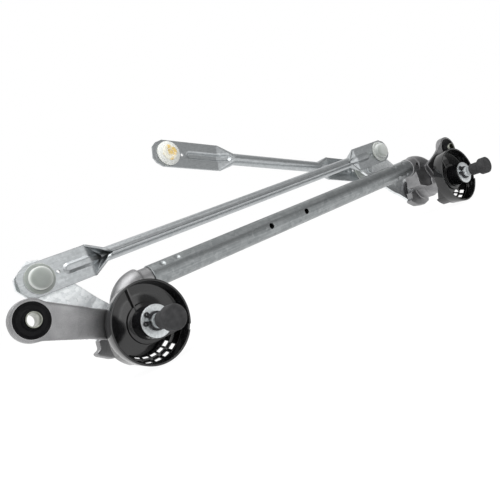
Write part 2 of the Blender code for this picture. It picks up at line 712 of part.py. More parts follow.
def crank_stations(end_width):
    """Length, half width and set-back along a crank, from hub to tip."""
    stations = []
    for index in range(1, 7):
        angle = math.pi - index * math.pi / 2 / 6
        x = CRANK_HUB_RADIUS * math.cos(angle)
        stations.append((x, CRANK_HUB_RADIUS * math.sin(angle), 0.0))
    tip = CRANK_RADIUS + CRANK_TIP_LENGTH
    wide = CRANK_RADIUS + 0.57 * CRANK_TIP_LENGTH
    half = end_width / 2

    def width(x):
        return CRANK_HUB_RADIUS + (half - CRANK_HUB_RADIUS) * x / wide

    stations.append((CRANK_JOGGLE_START, width(CRANK_JOGGLE_START), 0.0))
    stations.append((CRANK_JOGGLE_END, width(CRANK_JOGGLE_END), CRANK_JOGGLE))
    stations.append((wide, half, CRANK_JOGGLE))
    stations.append((tip - CRANK_TIP_LENGTH / 40, half * 0.61, CRANK_JOGGLE))
    stations.append((tip, half * 0.45, CRANK_JOGGLE))
    return stations


def make_crank(name, parent, finish, end_width, angle, ball_angles):
    """Pressed crank plate, joggled back past its hub, with riveting holes."""
    rings = []
    for x, half, back in crank_stations(end_width):
        front = CRANK_FACE + back
        rear = front + CRANK_THICKNESS
        rings.append([(x, front, -half), (x, front, half), (x, rear, half), (x, rear, -half)])
    plate = finish_object(name, lofted(rings), parent, finish, turn=angle)
    span = (CRANK_FACE - CRANK_THICKNESS, CRANK_BALL_FACE + 2 * CRANK_THICKNESS)
    hub = disc(CRANK_SHANK_RADIUS + FIT_GAP, *span)
    combine(plate, finish_object(f"{name}_hub_hole", hub, parent), "DIFFERENCE")
    for index, ball_angle in enumerate(ball_angles):
        drill = disc(STUD_SHANK_RADIUS + FIT_GAP, *span, SMALL_SIDES)
        place = crank_point(ball_angle)
        tool = finish_object(f"{name}_ball_hole_{index + 1}", drill, parent, location=place)
        combine(plate, tool, "DIFFERENCE")
    return plate


def crank_point(angle, depth=0.0):
    """A point on the ball circle of a shaft, at an angle above +X."""
    return Vector((CRANK_RADIUS * math.cos(angle), depth, CRANK_RADIUS * math.sin(angle)))


def make_ball_stud(name, parent, finish, place, facing):
    """Ball stud riveted through a crank; facing -1 points to the front."""
    face = BALL_STANDOFF
    rear = face + CRANK_THICKNESS + FIT_GAP
    joint = math.asin(BALL_NECK_RADIUS / BALL_RADIUS)
    ball = arc_points(BALL_RADIUS, -math.pi / 2, math.pi / 2 - joint, 7)
    ball[0] = (0, -BALL_RADIUS)
    profile = ball + [
        (BALL_NECK_RADIUS, face - FIT_GAP - STUD_FLANGE_HEIGHT),
        (STUD_FLANGE_RADIUS, face - FIT_GAP - STUD_FLANGE_HEIGHT),
        (STUD_FLANGE_RADIUS, face - FIT_GAP),
        (STUD_SHANK_RADIUS, face - FIT_GAP),
        (STUD_SHANK_RADIUS, rear),
        (STUD_HEAD_RADIUS, rear),
        (STUD_HEAD_RADIUS, rear + STUD_HEAD_HEIGHT / 2),
        (STUD_SHANK_RADIUS, rear + STUD_HEAD_HEIGHT),
        (0, rear + STUD_HEAD_HEIGHT),
    ]
    profile = [(radius, -facing * depth) for radius, depth in profile]
    return finish_object(name, turned(profile, SMALL_SIDES), parent, finish, place)


def make_socket(name, parent, finish, place, facing):
    """Snap-in plastic ball socket; facing -1 turns its dome to the front."""
    flat = ROD_SHEET / 2 + FIT_GAP
    cavity = BALL_RADIUS + FIT_GAP
    opening = math.asin(SOCKET_MOUTH_RADIUS / cavity)
    inside = arc_points(cavity, math.pi / 2 - opening, -math.pi / 2, 6)
    inside[-1] = (0, -cavity)
    ring_face = flat + SOCKET_RING_THICKNESS
    dome_edge = SOCKET_DOME_RADIUS / 5
    profile = [
        (0, -SOCKET_DOME_HEIGHT),
        (SOCKET_DOME_RADIUS - 2 * dome_edge, -SOCKET_DOME_HEIGHT + dome_edge / 4),
        (SOCKET_DOME_RADIUS, -SOCKET_DOME_HEIGHT + 2 * dome_edge),
        (SOCKET_DOME_RADIUS, -ring_face),
        (SOCKET_RING_RADIUS, -ring_face),
        (SOCKET_RING_RADIUS, -flat),
        (SOCKET_NECK_RADIUS, -flat),
        (SOCKET_NECK_RADIUS, flat),
        (SOCKET_RING_RADIUS, flat),
        (SOCKET_RING_RADIUS, ring_face),
        (SOCKET_NECK_RADIUS + dome_edge / 2, SOCKET_MOUTH_DEPTH),
        (SOCKET_MOUTH_RADIUS, SOCKET_MOUTH_DEPTH),
    ] + inside
    profile = [(radius, -facing * depth) for radius, depth in profile]
    return finish_object(name, turned(profile, SMALL_SIDES), parent, finish, place)


def strip_section(x, width, curl, bead, forward):
    """Section of a strip curled by an angle, its middle pressed to the front."""
    bead_edge = min(2 * BEAD_HALF_WIDTH / width, 0.35)
    left = [-1.0, -0.81, -0.62, -0.43, -bead_edge, -0.5 * bead_edge]
    spots = left + [0.0] + [-spot for spot in reversed(left)]
    front = []
    back = []
    for spot in spots:
        distance = spot * width / 2
        if curl > 0:
            radius = width / curl
            angle = distance / radius
            centre = Vector((x, radius * (1 - math.cos(angle)), radius * math.sin(angle)))
            normal = Vector((0, -math.cos(angle), math.sin(angle)))
        else:
            centre = Vector((x, 0, distance))
            normal = Vector((0, -1, 0))
        share = abs(distance) / BEAD_HALF_WIDTH
        rise = bead * (0.5 + 0.5 * math.cos(math.pi * share)) if share < 1 else 0.0
        centre += Vector((0, -rise - forward, 0))
        front.append(centre + normal * ROD_SHEET / 2)
        back.append(centre - normal * ROD_SHEET / 2)
    return front + back[::-1]


def make_rod(name, parent, finish, length, flat, turn, facing, place=(0, 0, 0)):
    """Rod pressed from one strip: flat beaded ends, curled to a tube between.

    The rod runs from the joint at its own origin along +X, then turns.
    """
    tube_middle = ROD_TUBE_RADIUS - ROD_SHEET / 2
    tube_width = 2 * math.pi * tube_middle - ROD_SEAM_GAP
    tube_curl = tube_width / tube_middle
    half_tip = ROD_TIP_LENGTH
    ends = [
        (-half_tip, 0.42 * ROD_END_WIDTH, 0.0, 0.0, 0.0),
        (-0.78 * half_tip, 0.76 * ROD_END_WIDTH, 0.0, 0.0, 0.0),
        (-0.37 * half_tip, ROD_END_WIDTH, 0.0, 0.0, 0.0),
        (BEAD_START, ROD_END_WIDTH, 0.0, 0.0, 0.0),
        (BEAD_START + BEAD_HEIGHT, ROD_END_WIDTH, 0.0, BEAD_HEIGHT, 0.0),
        (flat, ROD_END_WIDTH, 0.0, BEAD_HEIGHT, 0.0),
    ]
    steps = 4
    for index in range(1, steps + 1):
        part = index / steps
        width = ROD_END_WIDTH + (tube_width - ROD_END_WIDTH) * part
        curl = tube_curl * part
        rise = BEAD_HEIGHT * (1 - part)
        forward = (tube_middle - ROD_TUBE_SET_BACK) * part
        ends.append((flat + ROD_CURL_LENGTH * part, width, curl, rise, forward))
    sections = [strip_section(*end) for end in ends]
    for x, width, curl, bead, forward in reversed(ends):
        sections.append(strip_section(length - x, width, curl, bead, forward))
    rings = [[(point.x, -facing * point.y, point.z) for point in ring] for ring in sections]
    rod = finish_object(name, lofted(rings), parent, finish, place, turn)
    centre = Vector(place)
    along = Vector((math.cos(turn), 0, math.sin(turn)))
    drills = []
    for start, inward in ((0.0, 1), (length, -1)):
        drills.append((SOCKET_NECK_RADIUS + FIT_GAP, start, SMALL_SIDES))
        drills.append((PIN_HOLE_RADIUS, start + inward * PIN_HOLE_OFFSET, 8))
    for index, (radius, offset, sides) in enumerate(drills):
        drill = disc(radius, -2 * ROD_SHEET, 2 * ROD_SHEET, sides)
        tool = finish_object(f"{name}_hole_{index + 1}", drill, parent, location=centre + along * offset)
        combine(rod, tool, "DIFFERENCE")
    return rod


def make_pivot(name, frame, shaft_axis, finishes, x):
    """Bushes, seal, washers, shaft, circlip and cap of one pivot."""
    bush_inner = SHAFT_RADIUS + RUNNING_GAP
    bush_outer = bush_inner + BUSH_WALL
    seal_front = NOSE_FACE + FIT_GAP
    front_bush = seal_front + SEAL_THICKNESS + FIT_GAP
    rear_bush = BARREL_END - FIT_GAP - BUSH_LENGTH
    thrust = BARREL_END + FIT_GAP
    origin = (x, 0, 0)
    rings = {
        "front_bush": ("bronze", bush_inner, bush_outer, front_bush, BUSH_LENGTH),
        "rear_bush": ("bronze", bush_inner, bush_outer, rear_bush, BUSH_LENGTH),
        "shaft_seal": ("rubber", bush_inner, bush_outer, seal_front, SEAL_THICKNESS),
        "washer": ("zinc", bush_inner + FIT_GAP, WASHER_RADIUS, 0.0, WASHER_THICKNESS),
        "thrust_washer": (
            "nylon",
            bush_inner + FIT_GAP,
            THRUST_WASHER_RADIUS,
            thrust,
            THRUST_WASHER_THICKNESS,
        ),
    }
    for part, (finish, inner, outer, start, length) in rings.items():
        shape = ring(inner, outer, start, start + length)
        finish_object(f"{name}_{part}", shape, frame, finishes[finish], origin)
    make_shaft(f"{name}_shaft", shaft_axis, finishes["zinc"])
    make_circlip(f"{name}_circlip", shaft_axis, finishes["black_steel"])
    make_cap(f"{name}_cap", shaft_axis, finishes["rubber"])


def build():
    """Assemble the linkage at rest."""
    clear_scene()
    finishes = {
        "tube_steel": material("tube_steel", (0.30, 0.32, 0.33), 1.0, 0.42),
        "cast_aluminium": material("cast_aluminium", (0.34, 0.34, 0.35), 0.9, 0.50),
        "gloss_black": material("gloss_black", (0.012, 0.012, 0.013), 0.0, 0.22),
        "rubber": material("rubber", (0.022, 0.022, 0.024), 0.0, 0.70),
        "zinc": material("zinc", (0.72, 0.75, 0.76), 1.0, 0.30),
        "bronze": material("bronze", (0.45, 0.31, 0.15), 1.0, 0.45),
        "black_steel": material("black_steel", (0.03, 0.03, 0.03), 0.7, 0.40),
        "nylon": material("nylon", (0.03, 0.03, 0.03), 0.0, 0.55),
        "milky_plastic": material("milky_plastic", (0.62, 0.64, 0.62), 0.0, 0.38),
        "rod_steel": material("rod_steel", (0.42, 0.44, 0.45), 1.0, 0.35),
        "crank_steel": material("crank_steel", (0.70, 0.73, 0.74), 1.0, 0.33),
    }
    assembly = axis_empty("assembly", -NEAR_EAR)
    near_axis = axis_empty("near_shaft_axis", (0, 0, 0), assembly)
    far_axis = axis_empty("far_shaft_axis", (SHAFT_SPACING, 0, 0), assembly)
    far_ball = crank_point(CRANK_REST_ANGLE, ROD_PLANE)
    motor_ball = crank_point(MOTOR_BALL_ANGLE, MOTOR_ROD_PLANE)
    coupling_axis = axis_empty("coupling_rod_axis", far_ball, far_axis)
    motor_axis = axis_empty("motor_rod_axis", motor_ball, far_axis)

    make_frame_tube(assembly, finishes["tube_steel"])
    cast = finishes["cast_aluminium"]
    near_elbow = (NEAR_SHOULDER, NEAR_BEND_RADIUS, NEAR_NECK_RADIUS)
    far_elbow = (FAR_SHOULDER, FAR_BEND_RADIUS, FAR_NECK_RADIUS)
    make_housing("near", assembly, cast, 1, near_elbow, NEAR_EAR, NEAR_ARM_ROOT, 0.0)
    make_housing("far", assembly, cast, -1, far_elbow, FAR_EAR, FAR_ARM_ROOT, SHAFT_SPACING)
    pivots = (
        ("near", 0.0, NEAR_EAR, near_axis, 0.0),
        ("far", SHAFT_SPACING, FAR_EAR, far_axis, FAR_CUP_TURN),
    )
    for name, x, ear, shaft_axis, cup_turn in pivots:
        place = ear + Vector((x, 0, 0))
        make_grommet(f"{name}_grommet", assembly, finishes["rubber"], place)
        make_sleeve(f"{name}_sleeve", assembly, finishes["zinc"], place)
        make_cup(f"{name}_cup", assembly, finishes["gloss_black"], x, cup_turn)
        make_pivot(name, assembly, shaft_axis, finishes, x)

    crank = finishes["crank_steel"]
    stud = finishes["zinc"]
    rest = CRANK_REST_ANGLE
    make_crank("near_crank", near_axis, crank, NEAR_CRANK_END_WIDTH, rest, (rest,))
    both = (rest, MOTOR_BALL_ANGLE)
    make_crank("far_crank", far_axis, crank, FAR_CRANK_END_WIDTH, FAR_CRANK_ANGLE, both)
    make_ball_stud("near_ball_stud", near_axis, stud, far_ball, -1)
    make_ball_stud("far_ball_stud", far_axis, stud, far_ball, -1)
    make_ball_stud("motor_ball_stud", far_axis, stud, motor_ball, 1)

    rod = finishes["rod_steel"]
    plastic = finishes["milky_plastic"]
    flat = COUPLING_FLAT_LENGTH
    make_rod("coupling_rod", coupling_axis, rod, SHAFT_SPACING, flat, math.pi, -1)
    make_socket("coupling_far_socket", coupling_axis, plastic, (0, 0, 0), -1)
    make_socket("coupling_near_socket", coupling_axis, plastic, (-SHAFT_SPACING, 0, 0), -1)
    flat = MOTOR_FLAT_LENGTH
    make_rod("motor_rod", motor_axis, rod, MOTOR_ROD_LENGTH, flat, MOTOR_ROD_ANGLE, 1)
    free_end = Vector((math.cos(MOTOR_ROD_ANGLE), 0, math.sin(MOTOR_ROD_ANGLE)))
    make_socket("motor_far_socket", motor_axis, plastic, (0, 0, 0), 1)
    make_socket("motor_free_socket", motor_axis, plastic, free_end * MOTOR_ROD_LENGTH, 1)


build()
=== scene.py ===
import math

import bpy
import numpy as np
from mathutils import Matrix, Vector


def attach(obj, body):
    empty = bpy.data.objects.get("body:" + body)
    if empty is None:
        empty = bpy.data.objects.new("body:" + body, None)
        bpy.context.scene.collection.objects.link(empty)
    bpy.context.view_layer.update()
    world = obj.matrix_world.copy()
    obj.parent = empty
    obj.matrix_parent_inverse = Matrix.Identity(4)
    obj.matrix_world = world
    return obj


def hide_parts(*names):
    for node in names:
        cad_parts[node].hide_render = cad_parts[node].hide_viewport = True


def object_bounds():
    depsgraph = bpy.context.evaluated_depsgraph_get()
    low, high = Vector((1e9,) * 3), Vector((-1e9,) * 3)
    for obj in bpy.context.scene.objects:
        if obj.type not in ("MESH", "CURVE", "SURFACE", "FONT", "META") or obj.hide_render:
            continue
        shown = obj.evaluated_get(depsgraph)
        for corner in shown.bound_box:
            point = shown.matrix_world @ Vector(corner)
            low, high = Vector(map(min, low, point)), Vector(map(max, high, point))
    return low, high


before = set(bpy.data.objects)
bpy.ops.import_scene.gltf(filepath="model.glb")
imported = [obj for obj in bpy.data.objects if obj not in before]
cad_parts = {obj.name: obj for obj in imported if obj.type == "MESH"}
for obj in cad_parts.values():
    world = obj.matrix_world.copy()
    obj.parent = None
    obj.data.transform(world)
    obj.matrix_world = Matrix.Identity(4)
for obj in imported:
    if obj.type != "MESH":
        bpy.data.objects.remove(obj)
cad_box = [list(corner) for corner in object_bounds()]
bpy.context.scene.view_settings.view_transform = "Standard"

# Camera, at the angle and distance of the photograph.
# The linkage is seen from the near wiper shaft's front, along its tube.
MM = 0.001
CAMERA_PLACE = (-0.11667, -0.44106, 0.00643)
CAMERA_RIGHT = (0.73278342, -0.56679591, -0.3765247)
CAMERA_DOWN = (-0.32711003, 0.19178835, -0.92531954)
CAMERA_AHEAD = (0.59668039, 0.80122383, -0.04486531)
CAMERA_LENS = 41.24
bpy.ops.object.select_all(action="DESELECT")
bpy.ops.object.camera_add(location=CAMERA_PLACE)
camera = bpy.context.object
camera.name = "photo_camera"
axes = Matrix((CAMERA_RIGHT, CAMERA_DOWN, CAMERA_AHEAD)).transposed()
camera.rotation_euler = (axes @ Matrix.Diagonal((1, -1, -1))).to_euler()
camera.data.lens = CAMERA_LENS
camera.data.clip_start = 0.01
bpy.context.scene.camera = camera


def place_node(tree, kind, inputs=(), **settings):
    """Add a shader node, with plain numbers or other nodes' sockets as inputs."""
    made = tree.nodes.new("ShaderNode" + kind)
    for key, value in settings.items():
        setattr(made, key, value)
    for key, value in dict(inputs).items():
        if isinstance(value, bpy.types.NodeSocket):
            tree.links.new(value, made.inputs[key])
        else:
            made.inputs[key].default_value = value
    return made


def math_node(tree, operation, first, second):
    """The result of a Math node with two inputs."""
    inputs = {0: first, 1: second}
    return place_node(tree, "Math", inputs, operation=operation).outputs[0]


# Floor, a pale sheet of paper just under the cups.
# Seen or mirrored it is white, and it still takes the linkage's faint shadow.
FLOOR_RADIUS = 4.0
FLOOR_MIDDLE = 0.3
FLOOR_DROP = 1.0 * MM
FLOOR_WHITE_SHARE = 0.88
FLOOR_GLOW = 1.08
bpy.ops.object.select_all(action="DESELECT")
bpy.ops.mesh.primitive_circle_add(
    vertices=64,
    radius=FLOOR_RADIUS,
    fill_type="NGON",
    location=(FLOOR_MIDDLE, 0.0, cad_box[0][2] - FLOOR_DROP),
)
floor = bpy.context.object
floor.name = "studio_floor"
bpy.ops.object.transform_apply(location=True, rotation=True, scale=True)
paper = bpy.data.materials.new("pale_floor_paper")
paper.use_nodes = True
tree = paper.node_tree
shading = tree.nodes["Principled BSDF"]
shading.inputs["Base Color"].default_value = (0.82, 0.82, 0.82, 1)
shading.inputs["Roughness"].default_value = 0.9
rays = place_node(tree, "LightPath")
looked = rays.outputs["Is Camera Ray"]
direct = math_node(tree, "MAXIMUM", looked, rays.outputs["Is Glossy Ray"])
seen = math_node(tree, "MAXIMUM", direct, rays.outputs["Is Transmission Ray"])
share = math_node(tree, "MULTIPLY", seen, FLOOR_WHITE_SHARE)
glow = place_node(tree, "Emission", {"Strength": FLOOR_GLOW})
both = place_node(
    tree,
    "MixShader",
    {0: share, 1: shading.outputs[0], 2: glow.outputs[0]},
)
tree.links.new(both.outputs[0], tree.nodes["Material Output"].inputs["Surface"])
floor.data.materials.append(paper)

# Studio room: white wherever the camera looks, and in mirror-like metal too.
# Metal also mirrors the dimmer room on the photographer's side and overhead.
ROOM_SOFT_LIGHT = 0.50
ROOM_DIM_SIDE = 0.34
world = bpy.data.worlds.new("white_studio")
bpy.context.scene.world = world
world.use_nodes = True
tree = world.node_tree
soft = tree.nodes["Background"]
soft.inputs["Color"].default_value = (1, 1, 1, 1)
soft.inputs["Strength"].default_value = ROOM_SOFT_LIGHT
white = place_node(tree, "Background", {"Color": (1, 1, 1, 1), "Strength": 1.0})
heading = place_node(tree, "TexCoord")
parts = place_node(tree, "SeparateXYZ", {0: heading.outputs["Generated"]})
behind = place_node(
    tree,
    "MapRange",
    {
        "Value": parts.outputs["Y"],
        "From Min": -0.15,
        "From Max": 0.45,
        "To Min": ROOM_DIM_SIDE,
    },
    interpolation_type="SMOOTHSTEP",
)
mirrored = place_node(
    tree,
    "Background",
    {"Color": (1, 1, 1, 1), "Strength": behind.outputs[0]},
)
rays = place_node(tree, "LightPath")
looked = rays.outputs["Is Camera Ray"]
seen = math_node(tree, "MAXIMUM", looked, rays.outputs["Is Transmission Ray"])
first = place_node(
    tree,
    "MixShader",
    {0: rays.outputs["Is Glossy Ray"], 1: soft.outputs[0], 2: mirrored.outputs[0]},
)
second = place_node(
    tree,
    "MixShader",
    {0: seen, 1: first.outputs[0], 2: white.outputs[0]},
)
tree.links.new(second.outputs[0], tree.nodes["World Output"].inputs["Surface"])

# Soft boxes, plain area lamps turned to the near end of the linkage.
# The key stands behind the camera, where the near flat faces mirror it.
LAMPS = (
    ("overhead_box", (-0.05, -0.20, 0.80), 0.8, 6.5),
    ("key_box", (0.22, -1.18, 0.05), 0.8, 2.4),
    ("right_box", (0.75, -0.40, 0.75), 0.5, 0.5),
    ("left_box", (-0.85, -0.30, 0.40), 0.6, 2.5),
)
LAMP_AIM = Vector((0.06, 0.0, 0.0))
for name, place, size, power in LAMPS:
    bpy.ops.object.light_add(type="AREA", location=place)
    lamp = bpy.context.object
    lamp.name = name
    lamp.data.size = size
    lamp.data.energy = power
    lamp.rotation_euler = (LAMP_AIM - lamp.location).to_track_quat("-Z", "Y").to_euler()


# Frame tube: drawn and galvanised steel tube, 22 mm across.
# It is pushed over both housings' spigots and crimped on by punched dimples.
# Two cross holes take the bolts of the motor's bracket.
SHAFT_SPACING = 479.0
TUBE_RADIUS = 11.0
TUBE_WALL = 1.5
TUBE_START = 33.6
TUBE_END = 435.7
TUBE_DEPTH = 50.0
TUBE_HEIGHT = 32.5
DIMPLE_SPOTS = (46.6, 63.6, 405.7, 422.7)
DIMPLE_DEPTH = 1.1
DIMPLE_REACH = 3.4
DIMPLE_COUNT = 4
DIMPLE_ZONES = ((41.0, 69.0), (400.0, 428.0))
TUBE_CHAMFER = 0.4
TUBE_SIDES = 112
BRACKET_HOLES = (178.5, 231.9)
BRACKET_HOLE_RADIUS = 3.2
BRACKET_DRILL_REACH = 13.0


def at(x, y, z):
    """A point given in mm from the near shaft's axis and its washer's face."""
    return Vector((x + 81.9, y - 24.5, z - 38.1)) * MM


def turned(name, centre, profile, sides=96, hollow=False, along=(0, 1, 0)):
    """Extrude and scale a circle ring by ring along its axis, sizes in mm."""
    axis = Vector(along)
    spots = [centre + axis * depth * MM for _, depth in profile]
    bpy.ops.object.select_all(action="DESELECT")
    bpy.ops.mesh.primitive_circle_add(
        vertices=sides,
        radius=profile[0][0] * MM,
        location=spots[0],
        rotation=axis.to_track_quat("Z", "Y").to_euler(),
    )
    piece = bpy.context.object
    piece.name = name
    bpy.ops.object.mode_set(mode="EDIT")
    for before, after, start, end in zip(profile, profile[1:], spots, spots[1:]):
        bpy.ops.mesh.extrude_region_move(TRANSFORM_OT_translate={"value": tuple(end - start)})
        growth = after[0] / before[0]
        spread = [1 if part else growth for part in along]
        bpy.ops.transform.resize(value=spread, center_override=tuple(end))
    bpy.ops.mesh.select_all(action="DESELECT")
    bpy.ops.mesh.select_non_manifold()
    if hollow:
        bpy.ops.mesh.bridge_edge_loops()
    else:
        bpy.ops.mesh.fill_holes(sides=0)
    bpy.ops.mesh.select_all(action="SELECT")
    bpy.ops.mesh.normals_make_consistent(inside=False)
    bpy.ops.object.mode_set(mode="OBJECT")
    bpy.ops.object.transform_apply(location=True, rotation=True, scale=True)
    return piece


def worked(piece, kind, **settings):
    """Put a modifier on a piece and apply it at once."""
    bpy.ops.object.select_all(action="DESELECT")
    piece.select_set(True)
    bpy.context.view_layer.objects.active = piece
    step = piece.modifiers.new(kind, kind)
    for key, value in settings.items():
        setattr(step, key, value)
    bpy.ops.object.modifier_apply(modifier=step.name)


def eased(piece, width, segments, angle):
    """Bevel the edges that turn sharper than an angle, in mm and degrees."""
    worked(
        piece,
        "BEVEL",
        width=width * MM,
        segments=segments,
        limit_method="ANGLE",
        angle_limit=math.radians(angle),
    )


def cut(piece, tool, operation="DIFFERENCE", solver="EXACT"):
    """Cut a tool's shape out of a piece, or join it on, and drop the tool."""
    worked(piece, "BOOLEAN", operation=operation, solver=solver, object=tool)
    bpy.data.objects.remove(tool, do_unlink=True)


def smoothed(piece, material, sharp=35):
    """Shade a piece smooth between its sharp edges and give it its material."""
    bpy.ops.object.select_all(action="DESELECT")
    piece.select_set(True)
    bpy.context.view_layer.objects.active = piece
    bpy.ops.object.shade_smooth_by_angle(angle=math.radians(sharp))
    piece.data.materials.clear()
    piece.data.materials.append(material)
    piece.data.name = piece.name


def new_group(name, inputs, outputs):
    """An empty shader node group with named number, vector or colour sockets."""
    tree = bpy.data.node_groups.new(name, "ShaderNodeTree")
    for label, kind, default in inputs:
        made = tree.interface.new_socket(label, in_out="INPUT", socket_type="NodeSocket" + kind)
        made.default_value = default
    for label, kind in outputs:
        tree.interface.new_socket(label, in_out="OUTPUT", socket_type="NodeSocket" + kind)
    return tree, tree.nodes.new("NodeGroupInput"), tree.nodes.new("NodeGroupOutput")


def noise(tree, coords, scale, detail):
    """The value of a noise texture."""
    inputs = {"Vector": coords, "Scale": scale, "Detail": detail}
    return place_node(tree, "TexNoise", inputs).outputs["Fac"]


# Zinc skin, shared by all plated and galvanised steel: small crystal patches.
tree, given, result = new_group(
    "zinc_skin",
    [
        ("Vector", "Vector", (0, 0, 0)),
        ("Patches", "Float", 300.0),
        ("Grain", "Float", 2500.0),
    ],
    [("Shade", "Float"), ("Height", "Float")],
)
place = given.outputs["Vector"]
count = given.outputs["Patches"]
wobble = place_node(tree, "TexNoise", {"Vector": place, "Scale": count, "Detail": 2.0})
pushed = place_node(
    tree,
    "VectorMath",
    {0: wobble.outputs["Color"], "Scale": 0.0016},
    operation="SCALE",
)
moved = place_node(tree, "VectorMath", {0: place, 1: pushed.outputs[0]})
patch = place_node(tree, "TexVoronoi", {"Vector": moved.outputs[0], "Scale": count})
patch_shade = place_node(tree, "RGBToBW", {0: patch.outputs["Color"]})
speck = noise(tree, place, given.outputs["Grain"], 3.0)
mixed = place_node(tree, "Mix", {"Factor": 0.5, "A": patch_shade.outputs[0], "B": speck})
tree.links.new(mixed.outputs[0], result.inputs["Shade"])
tree.links.new(speck, result.inputs["Height"])
zinc_skin = tree

# Drawn lines, shared by tube, rods and bars: streaks along the rolling direction.
tree, given, result = new_group(
    "drawn_lines",
    [
        ("Vector", "Vector", (0, 0, 0)),
        ("Stretch", "Vector", (1, 1, 1)),
        ("Count", "Float", 900.0),
    ],
    [("Lines", "Float")],
)
longer = place_node(
    tree,
    "VectorMath",
    {0: given.outputs["Vector"], 1: given.outputs["Stretch"]},
    operation="MULTIPLY",
)
lines = noise(tree, longer.outputs[0], given.outputs["Count"], 4.0)
tree.links.new(lines, result.inputs["Lines"])
drawn_lines = tree

# Worn edge, shared by all metal: a mask that is high where a surface turns sharply.
tree, given, result = new_group(
    "worn_edge",
    [("Reach", "Float", 0.0005), ("Amount", "Float", 1.0)],
    [("Mask", "Float")],
)
rounded = place_node(tree, "Bevel", {"Radius": given.outputs["Reach"]}, samples=4)
facing = place_node(tree, "NewGeometry")
agree = place_node(
    tree,
    "VectorMath",
    {0: rounded.outputs[0], 1: facing.outputs["Normal"]},
    operation="DOT_PRODUCT",
)
turn = place_node(
    tree,
    "MapRange",
    {"Value": agree.outputs["Value"], "From Min": 0.995, "From Max": 0.90},
)
mask = math_node(tree, "MULTIPLY", turn.outputs[0], given.outputs["Amount"])
tree.links.new(mask, result.inputs["Mask"])
worn_edge = tree


def use_group(tree, group, inputs=()):
    """Place a shared shader group in a material's tree."""
    return place_node(tree, "Group", inputs, node_tree=group)


def new_material(name, **fixed):
    """A Principled material with plain numbers set on the shader itself."""
    made = bpy.data.materials.new(name)
    made.use_nodes = True
    tree = made.node_tree
    shader = tree.nodes["Principled BSDF"]
    for label, value in fixed.items():
        shader.inputs[label.replace("_", " ")].default_value = value
    coords = place_node(tree, "TexCoord")
    return made, tree, shader, coords.outputs["Object"]


def shade_ramp(tree, factor, stops):
    """Turn a value into a colour between (position, colour) stops."""
    made = place_node(tree, "ValToRGB", {0: factor})
    points = made.color_ramp.elements
    while len(points) < len(stops):
        points.new(0.5)
    for point, (position, color) in zip(points, stops):
        point.position = position
        point.color = (*color, 1)
    return made.outputs["Color"]


def set_socket(tree, shader, label, output):
    """Lead a node's output to one of the shader's sockets."""
    tree.links.new(output, shader.inputs[label])


def colored(tree, shader, factor, stops):
    """Lead a value to the shader's colour, through the colours of a ramp."""
    set_socket(tree, shader, "Base Color", shade_ramp(tree, factor, stops))


def bumped(tree, shader, height, strength, distance):
    """Lead a height to the shader's normal through a Bump node."""
    bump = place_node(tree, "Bump", {"Strength": strength, "Distance": distance, "Height": height})
    set_socket(tree, shader, "Normal", bump.outputs[0])


def roughened(tree, shader, factor, start, end, span=(0.0, 1.0)):
    """Lead a value to the shader's roughness, running there from start to end."""
    inputs = {"Value": factor, "From Min": span[0], "From Max": span[1]}
    made = place_node(tree, "MapRange", {**inputs, "To Min": start, "To Max": end})
    set_socket(tree, shader, "Roughness", made.outputs[0])


def edge_colored(tree, shader, color, reach, amount, bare):
    """Lead a colour to the shader, with another one along the worn edges."""
    edge = use_group(tree, worn_edge, {"Reach": reach, "Amount": amount})
    inputs = {0: edge.outputs[0], 6: color, 7: (*bare, 1)}
    final = place_node(tree, "Mix", inputs, data_type="RGBA")
    set_socket(tree, shader, "Base Color", final.outputs[2])


galvanised, tree, shader, coords = new_material("galvanised_steel", Metallic=1.0)
skin = use_group(tree, zinc_skin, {"Vector": coords, "Patches": 220.0, "Grain": 1400.0})
lines = use_group(tree, drawn_lines, {"Vector": coords, "Stretch": (0.03, 1, 1), "Count": 700.0})
inputs = {"Factor": 0.5, "A": skin.outputs["Shade"], "B": lines.outputs["Lines"]}
blended = place_node(tree, "Mix", inputs)
color = shade_ramp(
    tree,
    blended.outputs[0],
    ((0.30, (0.22, 0.235, 0.24)), (0.50, (0.29, 0.305, 0.31)), (0.70, (0.38, 0.40, 0.405))),
)
edge_colored(tree, shader, color, 0.0006, 0.6, (0.62, 0.65, 0.66))
roughened(tree, shader, blended.outputs[0], 0.44, 0.30, span=(0.3, 0.7))
bumped(tree, shader, blended.outputs[0], 0.25, 0.0002)

